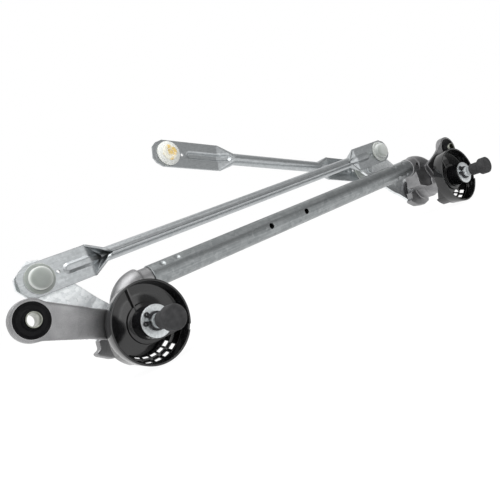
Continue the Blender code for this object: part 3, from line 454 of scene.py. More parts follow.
stations = [TUBE_START + TUBE_CHAMFER]
for first, last in DIMPLE_ZONES:
    stations += list(np.linspace(first, last, 40))
stations.append(TUBE_END - TUBE_CHAMFER)
profile = [(TUBE_RADIUS - TUBE_CHAMFER, TUBE_START)]
profile += [(TUBE_RADIUS, station) for station in stations]
profile += [(TUBE_RADIUS - TUBE_CHAMFER, TUBE_END)]
profile += [(TUBE_RADIUS - TUBE_WALL, TUBE_END), (TUBE_RADIUS - TUBE_WALL, TUBE_START)]
tube_spot = at(0, TUBE_DEPTH, TUBE_HEIGHT)
tube = turned("tube_drawn", tube_spot, profile, TUBE_SIDES, True, (1, 0, 0))
bpy.ops.object.mode_set(mode="EDIT")
for spot in DIMPLE_SPOTS:
    for quarter in range(DIMPLE_COUNT):
        angle = 2 * math.pi * (quarter + 0.5) / DIMPLE_COUNT
        outward = Vector((0, math.cos(angle), math.sin(angle)))
        target = at(spot, TUBE_DEPTH, TUBE_HEIGHT) + outward * TUBE_RADIUS * MM
        bpy.ops.mesh.select_all(action="DESELECT")
        bpy.ops.object.mode_set(mode="OBJECT")
        nearest = min(tube.data.vertices, key=lambda vert: (vert.co - target).length)
        nearest.select = True
        bpy.ops.object.mode_set(mode="EDIT")
        bpy.ops.transform.translate(
            value=tuple(outward * -DIMPLE_DEPTH * MM),
            use_proportional_edit=True,
            proportional_edit_falloff="SMOOTH",
            proportional_size=DIMPLE_REACH * MM,
            use_proportional_connected=True,
        )
bpy.ops.object.mode_set(mode="OBJECT")
for spot in BRACKET_HOLES:
    slug = [(BRACKET_HOLE_RADIUS, reach) for reach in (-BRACKET_DRILL_REACH, BRACKET_DRILL_REACH)]
    cut(tube, turned("bracket_drill", at(spot, TUBE_DEPTH, TUBE_HEIGHT), slug, 48))
eased(tube, 0.3, 2, 50)
smoothed(tube, galvanised, 40)
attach(tube, "frame")
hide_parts("frame_tube")


# Housings: die-cast aluminium, one per wiper shaft, barrel, elbow and arm in one.
# The far one is mirrored, with a gusset and a locating peg's hole in its elbow.
# Casting leaves every inner corner filleted; the bore and the ear are machined.
BARREL_PROFILE = (
    (11.3, 1.5),
    (11.3, 22.3),
    (14.5, 22.3),
    (14.5, 52.1),
    (16.4, 54.0),
    (16.4, 66.0),
    (14.5, 66.0),
    (14.5, 83.0),
)
BARREL_BORE = 8.3
ELBOW_RADIUS = 12.8
ELBOW_STEPS = 20
ELBOW_SIDES = 64
SPIGOT_PROFILE = ((9.2, -12.0), (9.2, 34.5), (7.7, 36.0))
EAR_RADIUS = 16.7
EAR_THICKNESS = 8.4
EAR_CUT = ((14.2, -12.0), (14.2, -1.5), (10.4, -1.5), (10.4, 1.5), (14.2, 1.5), (14.2, 12.0))
ARM_THICKNESS = 8.0
ARM_EAR_HALF = 15.8
ARM_EDGE_DROP = 0.9
ARM_EDGE_BAND = 0.1
ARM_CREASE = 0.38
ARM_COLUMNS = 24
ARM_ROWS = 40
FOOT_START = 69.0
FOOT_END = 78.0
FOOT_OUTLINE = (
    (-12.2, 1.5),
    (-24.9, -0.9),
    (-26.1, -8.4),
    (-31.3, -10.4),
    (-30.2, -13.3),
    (-20.3, -20.3),
    (-6.1, -23.5),
    (6.1, -21.2),
    (9.6, -11.6),
)
PEG_HOLE_RADIUS = 2.5
PEG_HOLE_OUT = 33.7
PEG_HOLE_SPAN = (30.2, 44.2)
BORE_SPAN = (-8.0, 91.0)
CAST_GRID = 0.7
SHAFTS = {"near": 0.0, "far": SHAFT_SPACING}
EARS = {"near": (-81.9, 24.5, 38.1), "far": (27.0, 30.6, 35.5)}
ARM_ROOTS = {"near": (0.0, 33.5, -2.4), "far": (-16.0, 36.5, 14.2)}
ARM_ROOT_HALVES = {"near": 12.5, "far": 15.0}
TUBE_SIDE = {"near": 1, "far": -1}
# An elbow's tube end lies this far out, then its bend's and its neck's radius.
ELBOWS = {"near": (33.3, 21.5, 10.2), "far": (43.0, 30.0, 11.8)}
GUSSET_OUTLINE = (
    (-38.0, 27.0),
    (-39.0, 6.0),
    (-24.0, 0.0),
    (-6.0, 0.0),
    (-2.0, 24.0),
    (-14.0, 30.0),
)
GUSSET_START = 41.0
GUSSET_END = 61.0


def shaped_grid(name, columns, rows, shape, closed=False):
    """A grid whose corners are moved to where a piece's formula puts them."""
    bpy.ops.object.select_all(action="DESELECT")
    bpy.ops.mesh.primitive_grid_add(x_subdivisions=columns, y_subdivisions=rows, size=1)
    piece = bpy.context.object
    piece.name = name
    for vert in piece.data.vertices:
        column = round((vert.co.x + 0.5) * columns)
        row = round((vert.co.y + 0.5) * rows)
        vert.co = shape(column, row)
    bpy.ops.object.mode_set(mode="EDIT")
    bpy.ops.mesh.select_all(action="SELECT")
    if closed:
        bpy.ops.mesh.remove_doubles(threshold=0.001 * MM)
        bpy.ops.mesh.select_all(action="DESELECT")
        bpy.ops.mesh.select_non_manifold()
        bpy.ops.mesh.fill_holes(sides=0)
        bpy.ops.mesh.select_all(action="SELECT")
    bpy.ops.mesh.normals_make_consistent(inside=False)
    bpy.ops.object.mode_set(mode="OBJECT")
    return piece


def plate(name, outline, start, end, x=0.0):
    """A flat outline in the shafts' plane, extruded along them, sizes in mm."""
    bpy.ops.object.select_all(action="DESELECT")
    bpy.ops.mesh.primitive_circle_add(vertices=len(outline), radius=1.0, fill_type="NGON")
    piece = bpy.context.object
    piece.name = name
    for vert, (across, up) in zip(piece.data.vertices, outline):
        vert.co = at(x + across, start, up)
    bpy.ops.object.mode_set(mode="EDIT")
    bpy.ops.mesh.select_all(action="SELECT")
    bpy.ops.mesh.extrude_region_move(TRANSFORM_OT_translate={"value": (0, (end - start) * MM, 0)})
    bpy.ops.mesh.select_all(action="SELECT")
    bpy.ops.mesh.normals_make_consistent(inside=False)
    bpy.ops.object.mode_set(mode="OBJECT")
    return piece


def joined(pieces):
    """Join pieces into the first one."""
    bpy.ops.object.select_all(action="DESELECT")
    for piece in pieces:
        piece.select_set(True)
    bpy.context.view_layer.objects.active = pieces[0]
    bpy.ops.object.join()
    return pieces[0]


def fitted(piece, body, node):
    """Hang a piece on its body, in place of its CAD node."""
    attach(piece, body)
    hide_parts(node)


cast, tree, shader, coords = new_material("cast_aluminium", Metallic=1.0)
cloud = noise(tree, coords, 55.0, 3.0)
grain = noise(tree, coords, 1900.0, 2.0)
blended = place_node(tree, "Mix", {"Factor": 0.45, "A": cloud, "B": grain})
color = shade_ramp(
    tree,
    blended.outputs[0],
    ((0.32, (0.20, 0.20, 0.205)), (0.52, (0.30, 0.30, 0.305)), (0.70, (0.40, 0.40, 0.405))),
)
edge_colored(tree, shader, color, 0.0007, 0.7, (0.60, 0.60, 0.60))
roughened(tree, shader, cloud, 0.50, 0.38)
bumped(tree, shader, grain, 0.35, 0.00015)

for name, x in SHAFTS.items():
    side = TUBE_SIDE[name]
    ear = EARS[name]
    root = ARM_ROOTS[name]
    shoulder, bend, neck = ELBOWS[name]
    barrel = turned(name + "_housing_cast", at(x, 0, 0), BARREL_PROFILE)
    ear_spot = at(x + ear[0], ear[1], ear[2])

    path = [(shoulder, TUBE_HEIGHT, 0.0, neck), (bend + 0.6, TUBE_HEIGHT, 0.0, neck)]
    for step in range(ELBOW_STEPS + 1):
        angle = step / ELBOW_STEPS * math.pi / 2
        out = bend * (1 - math.sin(angle))
        down = TUBE_HEIGHT - bend * (1 - math.cos(angle))
        path.append((out, down, angle, ELBOW_RADIUS))
    path.append((0.0, 0.0, math.pi / 2, ELBOW_RADIUS))

    def elbow_point(column, row):
        out, down, angle, radius = path[row]
        roll = 2 * math.pi * column / ELBOW_SIDES
        lift = radius * math.cos(roll)
        across = side * out - side * math.sin(angle) * lift
        depth = TUBE_DEPTH + radius * math.sin(roll)
        return at(x + across, depth, down + math.cos(angle) * lift)

    elbow = shaped_grid("elbow", ELBOW_SIDES, len(path) - 1, elbow_point, closed=True)
    spigot_spot = at(x + side * shoulder, TUBE_DEPTH, TUBE_HEIGHT)
    spigot = turned("spigot", spigot_spot, SPIGOT_PROFILE, 64, along=(side, 0, 0))
    ear_ends = ((EAR_RADIUS, -EAR_THICKNESS / 2), (EAR_RADIUS, EAR_THICKNESS / 2))
    lug = turned("ear", ear_spot, ear_ends, 128)
    reach = Vector((root[0] - ear[0], 0, root[2] - ear[2]))
    sideways = Vector((-reach.z, 0, reach.x)).normalized()

    def arm_point(column, row):
        part = row / ARM_ROWS
        ease = max(0.0, part - ARM_CREASE) / (1 - ARM_CREASE)
        narrowing = (ARM_ROOT_HALVES[name] - ARM_EAR_HALF) * min(1.0, 2 * part)
        half = ARM_EAR_HALF + narrowing
        share = 2 * column / ARM_COLUMNS - 1
        rim = abs(share) - (1 - ARM_EDGE_BAND)
        drop = ARM_EDGE_DROP * max(0.0, rim / ARM_EDGE_BAND)
        place = reach * part + sideways * (half * share)
        depth = ear[1] + (root[1] - ear[1]) * ease - EAR_THICKNESS / 2 + drop
        return at(x + ear[0] + place.x, depth, ear[2] + place.z)

    arm = shaped_grid("arm", ARM_COLUMNS, ARM_ROWS, arm_point)
    facing = arm.data.polygons[len(arm.data.polygons) // 2].normal.y
    worked(arm, "SOLIDIFY", thickness=ARM_THICKNESS * MM, offset=math.copysign(1.0, facing))
    foot = plate("foot", FOOT_OUTLINE, FOOT_START, FOOT_END, x)
    pieces = [barrel, elbow, spigot, lug, arm, foot]
    if side < 0:
        pieces.append(plate("gusset", GUSSET_OUTLINE, GUSSET_START, GUSSET_END, x))
    housing = joined(pieces)
    worked(housing, "REMESH", mode="VOXEL", voxel_size=CAST_GRID * MM)
    worked(housing, "SMOOTH", factor=0.7, iterations=5)
    drill = [(BARREL_BORE, depth) for depth in BORE_SPAN]
    cut(housing, turned("bore", at(x, 0, 0), drill))
    cut(housing, turned("ear_bore", ear_spot, EAR_CUT, 128))
    if side < 0:
        drill = [(PEG_HOLE_RADIUS, depth) for depth in PEG_HOLE_SPAN]
        cut(housing, turned("peg_drill", at(x - PEG_HOLE_OUT, 0, TUBE_HEIGHT), drill, 48))
    smoothed(housing, cast, 40)
    fitted(housing, "frame", name + "_housing")

# Grommets: black rubber rings with a groove that grips the web inside each ear.
# They are moulded around a plated steel sleeve, and the car's bolt clamps the sleeve.
GROMMET_FRONT = (
    (6.4, -7.4),
    (6.9, -7.2),
    (7.3, -5.0),
    (8.0, -3.4),
    (9.2, -2.7),
    (11.4, -2.8),
    (12.8, -3.6),
    (13.5, -4.0),
    (13.9, -3.7),
    (13.9, -1.8),
    (10.1, -1.8),
)
SLEEVE_PROFILE = ((5.2, -10.0), (6.1, -10.0), (6.1, 10.0), (5.2, 10.0))

rubber, tree, shader, coords = new_material("black_rubber", Metallic=0.0, Specular_IOR_Level=0.12)
bloom = noise(tree, coords, 160.0, 4.0)
colored(tree, shader, bloom, ((0.35, (0.004, 0.004, 0.0045)), (0.70, (0.010, 0.010, 0.011))))
roughened(tree, shader, bloom, 0.42, 0.62)
bumped(tree, shader, bloom, 0.2, 0.0002)

zinc, tree, shader, coords = new_material("zinc_plating", Metallic=1.0)
skin = use_group(tree, zinc_skin, {"Vector": coords, "Patches": 900.0, "Grain": 3200.0})
colored(
    tree,
    shader,
    skin.outputs["Shade"],
    ((0.25, (0.52, 0.54, 0.55)), (0.50, (0.64, 0.67, 0.68)), (0.75, (0.75, 0.78, 0.79))),
)
roughened(tree, shader, skin.outputs["Shade"], 0.46, 0.34)
bumped(tree, shader, skin.outputs["Height"], 0.2, 0.0001)

passivated, tree, shader, coords = new_material("passivated_sleeve", Metallic=1.0, Roughness=0.28)
film = noise(tree, coords, 260.0, 2.0)
colored(tree, shader, film, ((0.35, (0.17, 0.18, 0.15)), (0.65, (0.36, 0.37, 0.33))))

for name, x in SHAFTS.items():
    ear = EARS[name]
    ear_spot = at(x + ear[0], ear[1], ear[2])
    whole = list(GROMMET_FRONT) + [(radius, -depth) for radius, depth in reversed(GROMMET_FRONT)]
    grommet = turned(name + "_grommet_rubber", ear_spot, whole, 128, hollow=True)
    eased(grommet, 0.25, 3, 20)
    smoothed(grommet, rubber, 50)
    fitted(grommet, "frame", name + "_grommet")
    sleeve = turned(name + "_sleeve_steel", ear_spot, SLEEVE_PROFILE, 96, hollow=True)
    eased(sleeve, 0.2, 2, 50)
    smoothed(sleeve, passivated, 50)
    fitted(sleeve, "frame", name + "_sleeve")

# Bushes and seals: sintered bronze rings pressed into both ends of each barrel.
# A rubber lip seal in front of them keeps the rain out of the bearing.
BUSH_INNER = 6.3
BUSH_OUTER = 8.0
BUSH_SPANS = {"front_bush": (4.3, 18.3), "rear_bush": (68.7, 82.7)}
SEAL_PROFILE = ((6.3, 1.8), (8.0, 1.8), (8.0, 4.0), (6.9, 4.0), (6.3, 3.2))

bronze, tree, shader, coords = new_material("sintered_bronze", Metallic=1.0, Roughness=0.5)
pores = place_node(tree, "TexVoronoi", {"Vector": coords, "Scale": 2400.0})
colored(
    tree,
    shader,
    pores.outputs["Distance"],
    ((0.15, (0.16, 0.10, 0.05)), (0.40, (0.45, 0.31, 0.15))),
)
bumped(tree, shader, pores.outputs["Distance"], 0.3, 0.0001)

for name, x in SHAFTS.items():
    for part, (start, end) in BUSH_SPANS.items():
        ends = ((BUSH_INNER, start), (BUSH_OUTER, start), (BUSH_OUTER, end), (BUSH_INNER, end))
        bush = turned(f"{name}_{part}_bronze", at(x, 0, 0), ends, 96, hollow=True)
        eased(bush, 0.25, 2, 50)
        smoothed(bush, bronze, 50)
        fitted(bush, "frame", f"{name}_{part}")
    seal = turned(name + "_seal_rubber", at(x, 0, 0), SEAL_PROFILE, 96, hollow=True)
    eased(seal, 0.15, 2, 30)
    smoothed(seal, rubber, 50)
    fitted(seal, "frame", name + "_shaft_seal")

# Drain cups: black plastic, moulded in one with hub, floor and wall.
# Water leaves through a deeper pocket, whose stepped back wall is a ten-hole grille.
# Each cup is pushed over its barrel's nose and held there by the washer.
CUP_PROFILE = (
    (11.6, 1.5),
    (13.5, 1.5),
    (13.5, 18.0),
    (17.2, 18.0),
    (17.2, 20.2),
    (32.8, 20.2),
    (33.6, 8.3),
    (35.4, 8.3),
    (34.6, 22.0),
    (11.6, 22.0),
)
SHELL_SLUG = ((34.3, 21.1), (34.3, 34.8))
SPACE_SLUG = (
    (32.5, 18.4),
    (32.5, 21.4),
    (33.2, 21.4),
    (33.2, 24.3),
    (31.2, 28.8),
    (28.7, 29.1),
    (26.4, 33.8),
)
SHELL_CHORD = -15.6
SPACE_CHORD = -17.4
TRIM_SIZE = (90, 40, 80)
TRIM_DEPTH = 28.0
RELIEF_SECTION = (
    (37.2, 25.3),
    (34.1, 25.3),
    (32.1, 29.8),
    (29.6, 30.1),
    (27.3, 34.8),
    (27.3, 36.6),
    (37.2, 36.6),
)
GRILLE_FIRST = -59.5
GRILLE_PITCH = 15.2
GRILLE_COLUMNS = 5
GRILLE_ROWS = ((32.65, 27.05), (27.85, 31.95))
GRILLE_SLOPE = 64.0
GRILLE_HOLE = (3.6, 4.9, 5.7)
RELIEF_ROWS = 24
SKIRT_SIDES = (34.15, 32.65)
SKIRT_SWEEP = 32.0
SKIRT_ROWS = 16
SKIRT_START = 21.1
SKIRT_DEPTHS = (22.3, 33.8)
RIB_OUTLINE = ((-5.6, 12.5), (-4.4, 12.5), (-4.4, 32.8), (-5.6, 32.8))
RIB_SPAN = (17.6, 21.1)
NOTCH_ANGLE = -30.0
NOTCH_PLACE = (35.4, 8.3)
NOTCH_SIZE = (7.2, 3.2, 5.0)
FAR_CUP_TURN = 10.0


def block(name, centre, size, turns=()):
    """A box on an axis, first leaned and then swung about the shaft, in mm."""
    bpy.ops.object.select_all(action="DESELECT")
    bpy.ops.mesh.primitive_cube_add(size=1)
    piece = bpy.context.object
    piece.name = name
    frame_turn = Matrix.Identity(4)
    for angle, axis in turns:
        frame_turn = frame_turn @ Matrix.Rotation(math.radians(angle), 4, axis)
    piece.scale = Vector(size) * MM
    piece.rotation_euler = frame_turn.to_euler()
    piece.location = centre
    bpy.ops.object.transform_apply(location=True, rotation=True, scale=True)
    return piece


gloss, tree, shader, coords = new_material("gloss_black_plastic", Metallic=0.0, IOR=1.62)
swirl = noise(tree, coords, 90.0, 3.0)
colored(tree, shader, swirl, ((0.35, (0.004, 0.004, 0.0045)), (0.70, (0.009, 0.009, 0.010))))
roughened(tree, shader, swirl, 0.07, 0.14)
bumped(tree, shader, swirl, 0.08, 0.0004)


def around(x, radius, angle, depth):
    """A point at a radius and an angle about a shaft, in mm and radians."""
    return at(x + radius * math.cos(angle), depth, radius * math.sin(angle))


for name, x in SHAFTS.items():
    hub = at(x, 0, 0)
    cup = turned(name + "_cup_moulding", hub, CUP_PROFILE, 128, hollow=True)
    eased(cup, 0.45, 3, 40)
    shell = turned("pocket_shell", hub, SHELL_SLUG, 128)
    trim_spot = at(x, TRIM_DEPTH, SHELL_CHORD + TRIM_SIZE[2] / 2)
    cut(shell, block("above_shell", trim_spot, TRIM_SIZE), solver="MANIFOLD")
    cut(cup, shell, "UNION", "MANIFOLD")
    for first, sense in ((0.0, -1), (180.0, 1)):

        def skirt_point(column, row):
            part = row / SKIRT_ROWS
            end = SKIRT_DEPTHS[0] + part * (SKIRT_DEPTHS[1] - SKIRT_DEPTHS[0])
            depth = (SKIRT_START, end, end, SKIRT_START)[column % 4]
            radius = SKIRT_SIDES[column % 4 // 2]
            return around(x, radius, math.radians(first + sense * part * SKIRT_SWEEP), depth)

        skirt = shaped_grid("skirt", 4, SKIRT_ROWS, skirt_point, closed=True)
        cut(cup, skirt, "UNION", "MANIFOLD")
    cut(cup, plate("rib", RIB_OUTLINE, *RIB_SPAN, x), "UNION", "MANIFOLD")
    space = turned("pocket_space", hub, SPACE_SLUG, 128)
    trim_spot = at(x, TRIM_DEPTH, SPACE_CHORD + TRIM_SIZE[2] / 2)
    cut(space, block("above_space", trim_spot, TRIM_SIZE), solver="MANIFOLD")
    cut(cup, space, solver="MANIFOLD")

    def relief_point(column, row):
        passed = row / RELIEF_ROWS * GRILLE_COLUMNS - 0.5
        radius, depth = RELIEF_SECTION[column % len(RELIEF_SECTION)]
        return around(x, radius, math.radians(GRILLE_FIRST - passed * GRILLE_PITCH), depth)

    relief_sides = len(RELIEF_SECTION)
    relief = shaped_grid("relief", relief_sides, RELIEF_ROWS, relief_point, closed=True)
    cut(cup, relief, solver="MANIFOLD")
    for radius, depth in GRILLE_ROWS:
        for column in range(GRILLE_COLUMNS):
            angle = GRILLE_FIRST - column * GRILLE_PITCH
            spot = around(x, radius, math.radians(angle), depth)
            leaned = ((-angle, "Y"), (90 - GRILLE_SLOPE, "Z"))
            cut(cup, block("punch", spot, GRILLE_HOLE, leaned), solver="MANIFOLD")
    spot = around(x, NOTCH_PLACE[0], math.radians(NOTCH_ANGLE), NOTCH_PLACE[1])
    cut(cup, block("notch", spot, NOTCH_SIZE, ((-NOTCH_ANGLE, "Y"),)), solver="MANIFOLD")
    if name == "far":
        pivot = Matrix.Translation(hub) @ Matrix.Rotation(math.radians(-FAR_CUP_TURN), 4, "Y")
        cup.data.transform(pivot @ Matrix.Translation(-hub))
    smoothed(cup, gloss, 35)
    fitted(cup, "frame", name + "_cup")

# Washers: a bright plated steel one lies in front of each cup and holds it.
# A black nylon one runs between the barrel's rear end and the crank.
WASHER_PROFILE = ((6.6, 0.0), (13.6, 0.0), (13.6, 1.2), (6.6, 1.2))
THRUST_PROFILE = ((6.6, 83.3), (15.4, 83.3), (15.4, 85.7), (6.6, 85.7))

nylon, tree, shader, coords = new_material("black_nylon", Metallic=0.0, Roughness=0.5)
grain = noise(tree, coords, 700.0, 2.0)
colored(tree, shader, grain, ((0.35, (0.020, 0.020, 0.021)), (0.65, (0.036, 0.036, 0.038))))
bumped(tree, shader, grain, 0.15, 0.0001)

for name, x in SHAFTS.items():
    for part, profile, finish, slot in (
        ("washer", WASHER_PROFILE, zinc, "zinc_plate"),
        ("thrust_washer", THRUST_PROFILE, nylon, "nylon"),
    ):
        ring = turned(f"{name}_{part}_ring", at(x, 0, 0), profile, 112, hollow=True)
        eased(ring, 0.22, 3, 50)
        smoothed(ring, finish, 50)
        fitted(ring, "frame", f"{name}_{part}")

# Wiper shafts: turned steel with a splined band, a cone and a thread for the arm.
# A spring steel circlip in a groove keeps each shaft in its barrel.
# Until the wiper arm is fitted, a rubber cap protects the cone and the thread.
SHAFT_PROFILE = (
    (3.1, -26.5),
    (3.9, -25.7),
    (3.9, -17.5),
    (5.0, -17.5),
    (6.2, -10.5),
    (6.2, -10.2),
    (6.2, -5.2),
    (6.2, -4.8),
    (6.2, -2.1),
    (5.4, -2.1),
    (5.4, 0.0),
    (6.2, 0.0),
    (6.2, 85.7),
    (5.0, 85.7),
    (5.0, 90.3),
    (8.0, 90.3),
    (8.0, 91.3),
    (6.4, 92.0),
    (5.0, 92.3),
)
SPLINE_START = -10.6
SPLINE_END = -5.0
SPLINE_DEPTH = 0.35
SHAFT_SIDES = 96
CIRCLIP_PROFILE = ((5.7, -1.5), (7.9, -1.5), (7.9, -0.3), (5.7, -0.3))
CIRCLIP_MIDDLE = 151.0
CIRCLIP_OPENING = 30.0
CIRCLIP_CUT_REACH = 14
CIRCLIP_CUT_SPAN = (-4.0, 3.0)
LUG_TURN = 21.0
LUG_REACH = 10.2
LUG_RADIUS = 2.1
LUG_SPAN = (-1.58, -0.22)
LUG_NECK = 1.5
LUG_NECK_PLACE = (8.2, -0.9)
LUG_NECK_START = 5.8
LUG_NECK_THICKNESS = 1.2
LUG_EYE_RADIUS = 0.9
LUG_EYE_SPAN = (-3.0, 2.0)
CAP_PROFILE = (
    (9.2, -32.7),
    (10.2, -31.7),
    (10.2, -24.2),
    (9.4, -23.2),
    (7.6, -22.6),
    (7.4, -21.6),
    (7.4, -10.5),
    (6.3, -10.5),
    (6.3, -28.2),
)

spring, tree, shader, coords = new_material("blackened_spring_steel", Metallic=1.0, Roughness=0.38)
oil = noise(tree, coords, 500.0, 2.0)
colored(tree, shader, oil, ((0.35, (0.035, 0.035, 0.037)), (0.65, (0.085, 0.085, 0.09))))

cap_rubber, tree, shader, coords = new_material(
    "grey_cap_rubber",
    Metallic=0.0,
    Specular_IOR_Level=0.3,
)
chalk = noise(tree, coords, 240.0, 5.0)
colored(tree, shader, chalk, ((0.30, (0.026, 0.026, 0.027)), (0.72, (0.052, 0.052, 0.054))))
roughened(tree, shader, chalk, 0.62, 0.80)
bumped(tree, shader, chalk, 0.25, 0.0002)

for name, x in SHAFTS.items():
    axis_spot = at(x, 0, 0)
    shaft = turned(name + "_shaft_steel", axis_spot, SHAFT_PROFILE, SHAFT_SIDES)
    for vert in shaft.data.vertices:
        depth = (vert.co.y - axis_spot.y) / MM
        if SPLINE_START < depth < SPLINE_END:
            angle = math.atan2(vert.co.z - axis_spot.z, vert.co.x - axis_spot.x)
            if round(angle / (2 * math.pi / SHAFT_SIDES)) % 2:
                inward = Vector((axis_spot.x - vert.co.x, 0, axis_spot.z - vert.co.z))
                vert.co += inward.normalized() * SPLINE_DEPTH * MM
    smoothed(shaft, zinc, 20)
    fitted(shaft, name + "_shaft", name + "_shaft")

    clip = turned(name + "_circlip_spring", axis_spot, CIRCLIP_PROFILE, 112, hollow=True)
    wedge = [(0.0, 0.0)]
    for turn in (-CIRCLIP_OPENING / 2, CIRCLIP_OPENING / 2):
        angle = math.radians(CIRCLIP_MIDDLE + turn)
        wedge.append((CIRCLIP_CUT_REACH * math.cos(angle), CIRCLIP_CUT_REACH * math.sin(angle)))
    cut(clip, plate("clip_gap", wedge, *CIRCLIP_CUT_SPAN, x))
    for turn in (-1, 1):
        angle = math.radians(CIRCLIP_MIDDLE + turn * LUG_TURN)
        lug_spot = around(x, LUG_REACH, angle, 0)
        neck = block(
            "lug_neck",
            around(x, LUG_NECK_PLACE[0], angle, LUG_NECK_PLACE[1]),
            (LUG_REACH - LUG_NECK_START, LUG_NECK_THICKNESS, 2 * LUG_NECK),
            ((-math.degrees(angle), "Y"),),
        )
        cut(clip, neck, "UNION")
        lug_ends = [(LUG_RADIUS, depth) for depth in LUG_SPAN]
        cut(clip, turned("lug", lug_spot, lug_ends, 40), "UNION")
        eye_ends = [(LUG_EYE_RADIUS, depth) for depth in LUG_EYE_SPAN]
        cut(clip, turned("eye", lug_spot, eye_ends, 32))
    smoothed(clip, spring, 40)
    fitted(clip, name + "_shaft", name + "_circlip")

    cap = turned(name + "_cap_rubber", axis_spot, CAP_PROFILE, 112)
    eased(cap, 0.5, 4, 25)
    smoothed(cap, cap_rubber, 50)
    fitted(cap, name + "_shaft", name + "_cap")

# Cranks: steel plates, blanked, joggled past the hub and zinc plated.
# Each is riveted over its shaft's rear end, and the ball studs are riveted in it.
CRANK_RADIUS = 82.6
CRANK_HUB_RADIUS = 17.0
CRANK_FACE = 86.0
CRANK_THICKNESS = 4.0
CRANK_JOGGLE = 2.5
JOGGLE_START = 18.0
JOGGLE_END = 30.0
CRANK_WIDE = 91.7
CRANK_TIP = 98.5
CRANK_TIP_EDGE = 0.4
CRANK_TIP_CHAMFER = 0.39
CRANK_TIP_SHARE = 0.45
CRANK_COLUMNS = 24
HUB_PUNCH = ((5.3, 80.0), (5.3, 96.0))
BALL_PUNCH = ((4.3, 80.0), (4.3, 98.0))
REST_ANGLE = 125.5
MOTOR_BALL_ANGLE = 141.7
# A crank's direction, the width of its end and the directions of its balls.
CRANKS = {
    "near": (REST_ANGLE, 32.4, (REST_ANGLE,)),
    "far": (133.6, 46.0, (REST_ANGLE, MOTOR_BALL_ANGLE)),
}
HUB_ARC = [math.radians(angle) for angle in range(3, 90, 3)]
CRANK_ROWS = [-CRANK_HUB_RADIUS * math.cos(angle) for angle in HUB_ARC]
CRANK_ROWS += list(np.linspace(1.0, JOGGLE_START, 12))
CRANK_ROWS += list(np.linspace(JOGGLE_START + 1.0, JOGGLE_END, 16))
CRANK_ROWS += list(np.linspace(JOGGLE_END + 4.0, 90.0, 12))
CRANK_ROWS += [CRANK_WIDE, 94.0, 96.0, CRANK_TIP - CRANK_TIP_EDGE, CRANK_TIP]


def ball_spot(x, angle):
    """Where a ball stud sits on its crank, across and up in mm."""
    turn = math.radians(angle)
    return x + CRANK_RADIUS * math.cos(turn), CRANK_RADIUS * math.sin(turn)


bright, tree, shader, coords = new_material("bright_crank_zinc", Metallic=1.0)
skin = use_group(tree, zinc_skin, {"Vector": coords, "Patches": 380.0, "Grain": 1500.0})
color = shade_ramp(
    tree,
    skin.outputs["Shade"],
    ((0.22, (0.66, 0.69, 0.70)), (0.50, (0.84, 0.87, 0.88)), (0.78, (0.94, 0.96, 0.97))),
)
edge_colored(tree, shader, color, 0.0006, 0.6, (0.92, 0.94, 0.94))
roughened(tree, shader, skin.outputs["Shade"], 0.44, 0.28)
bumped(tree, shader, skin.outputs["Height"], 0.3, 0.0002)

for name, (angle, end_width, balls) in CRANKS.items():
    x = SHAFTS[name]
    lean = math.radians(angle)

    def crank_point(column, row):
        out = CRANK_ROWS[row]
        slope = (end_width / 2 - CRANK_HUB_RADIUS) / CRANK_WIDE
        if out < 0:
            half = math.sqrt(CRANK_HUB_RADIUS**2 - out**2)
        elif out <= CRANK_WIDE:
            half = CRANK_HUB_RADIUS + slope * out
        elif out <= CRANK_TIP - CRANK_TIP_EDGE:
            part = (out - CRANK_WIDE) / (CRANK_TIP - CRANK_TIP_EDGE - CRANK_WIDE)
            half = end_width / 2 * (1 - CRANK_TIP_CHAMFER * part)
        else:
            half = end_width / 2 * CRANK_TIP_SHARE
        part = min(1.0, max(0.0, (out - JOGGLE_START) / (JOGGLE_END - JOGGLE_START)))
        joggle = CRANK_JOGGLE * part * part * (3 - 2 * part)
        depth = CRANK_FACE + CRANK_THICKNESS / 2 + joggle
        across = half * (2 * column / CRANK_COLUMNS - 1)
        left = out * math.cos(lean) - across * math.sin(lean)
        up = out * math.sin(lean) + across * math.cos(lean)
        return at(x + left, depth, up)

    last_row = len(CRANK_ROWS) - 1
    crank = shaped_grid(name + "_crank_plate", CRANK_COLUMNS, last_row, crank_point)
    worked(crank, "SOLIDIFY", thickness=CRANK_THICKNESS * MM, offset=0.0)
    eased(crank, 0.45, 3, 50)
    cut(crank, turned("hub_punch", at(x, 0, 0), HUB_PUNCH, 64))
    for ball_angle in balls:
        across, up = ball_spot(x, ball_angle)
        cut(crank, turned("ball_punch", at(across, 0, up), BALL_PUNCH, 64))
    smoothed(crank, bright, 40)
    fitted(crank, name + "_shaft", name + "_crank")

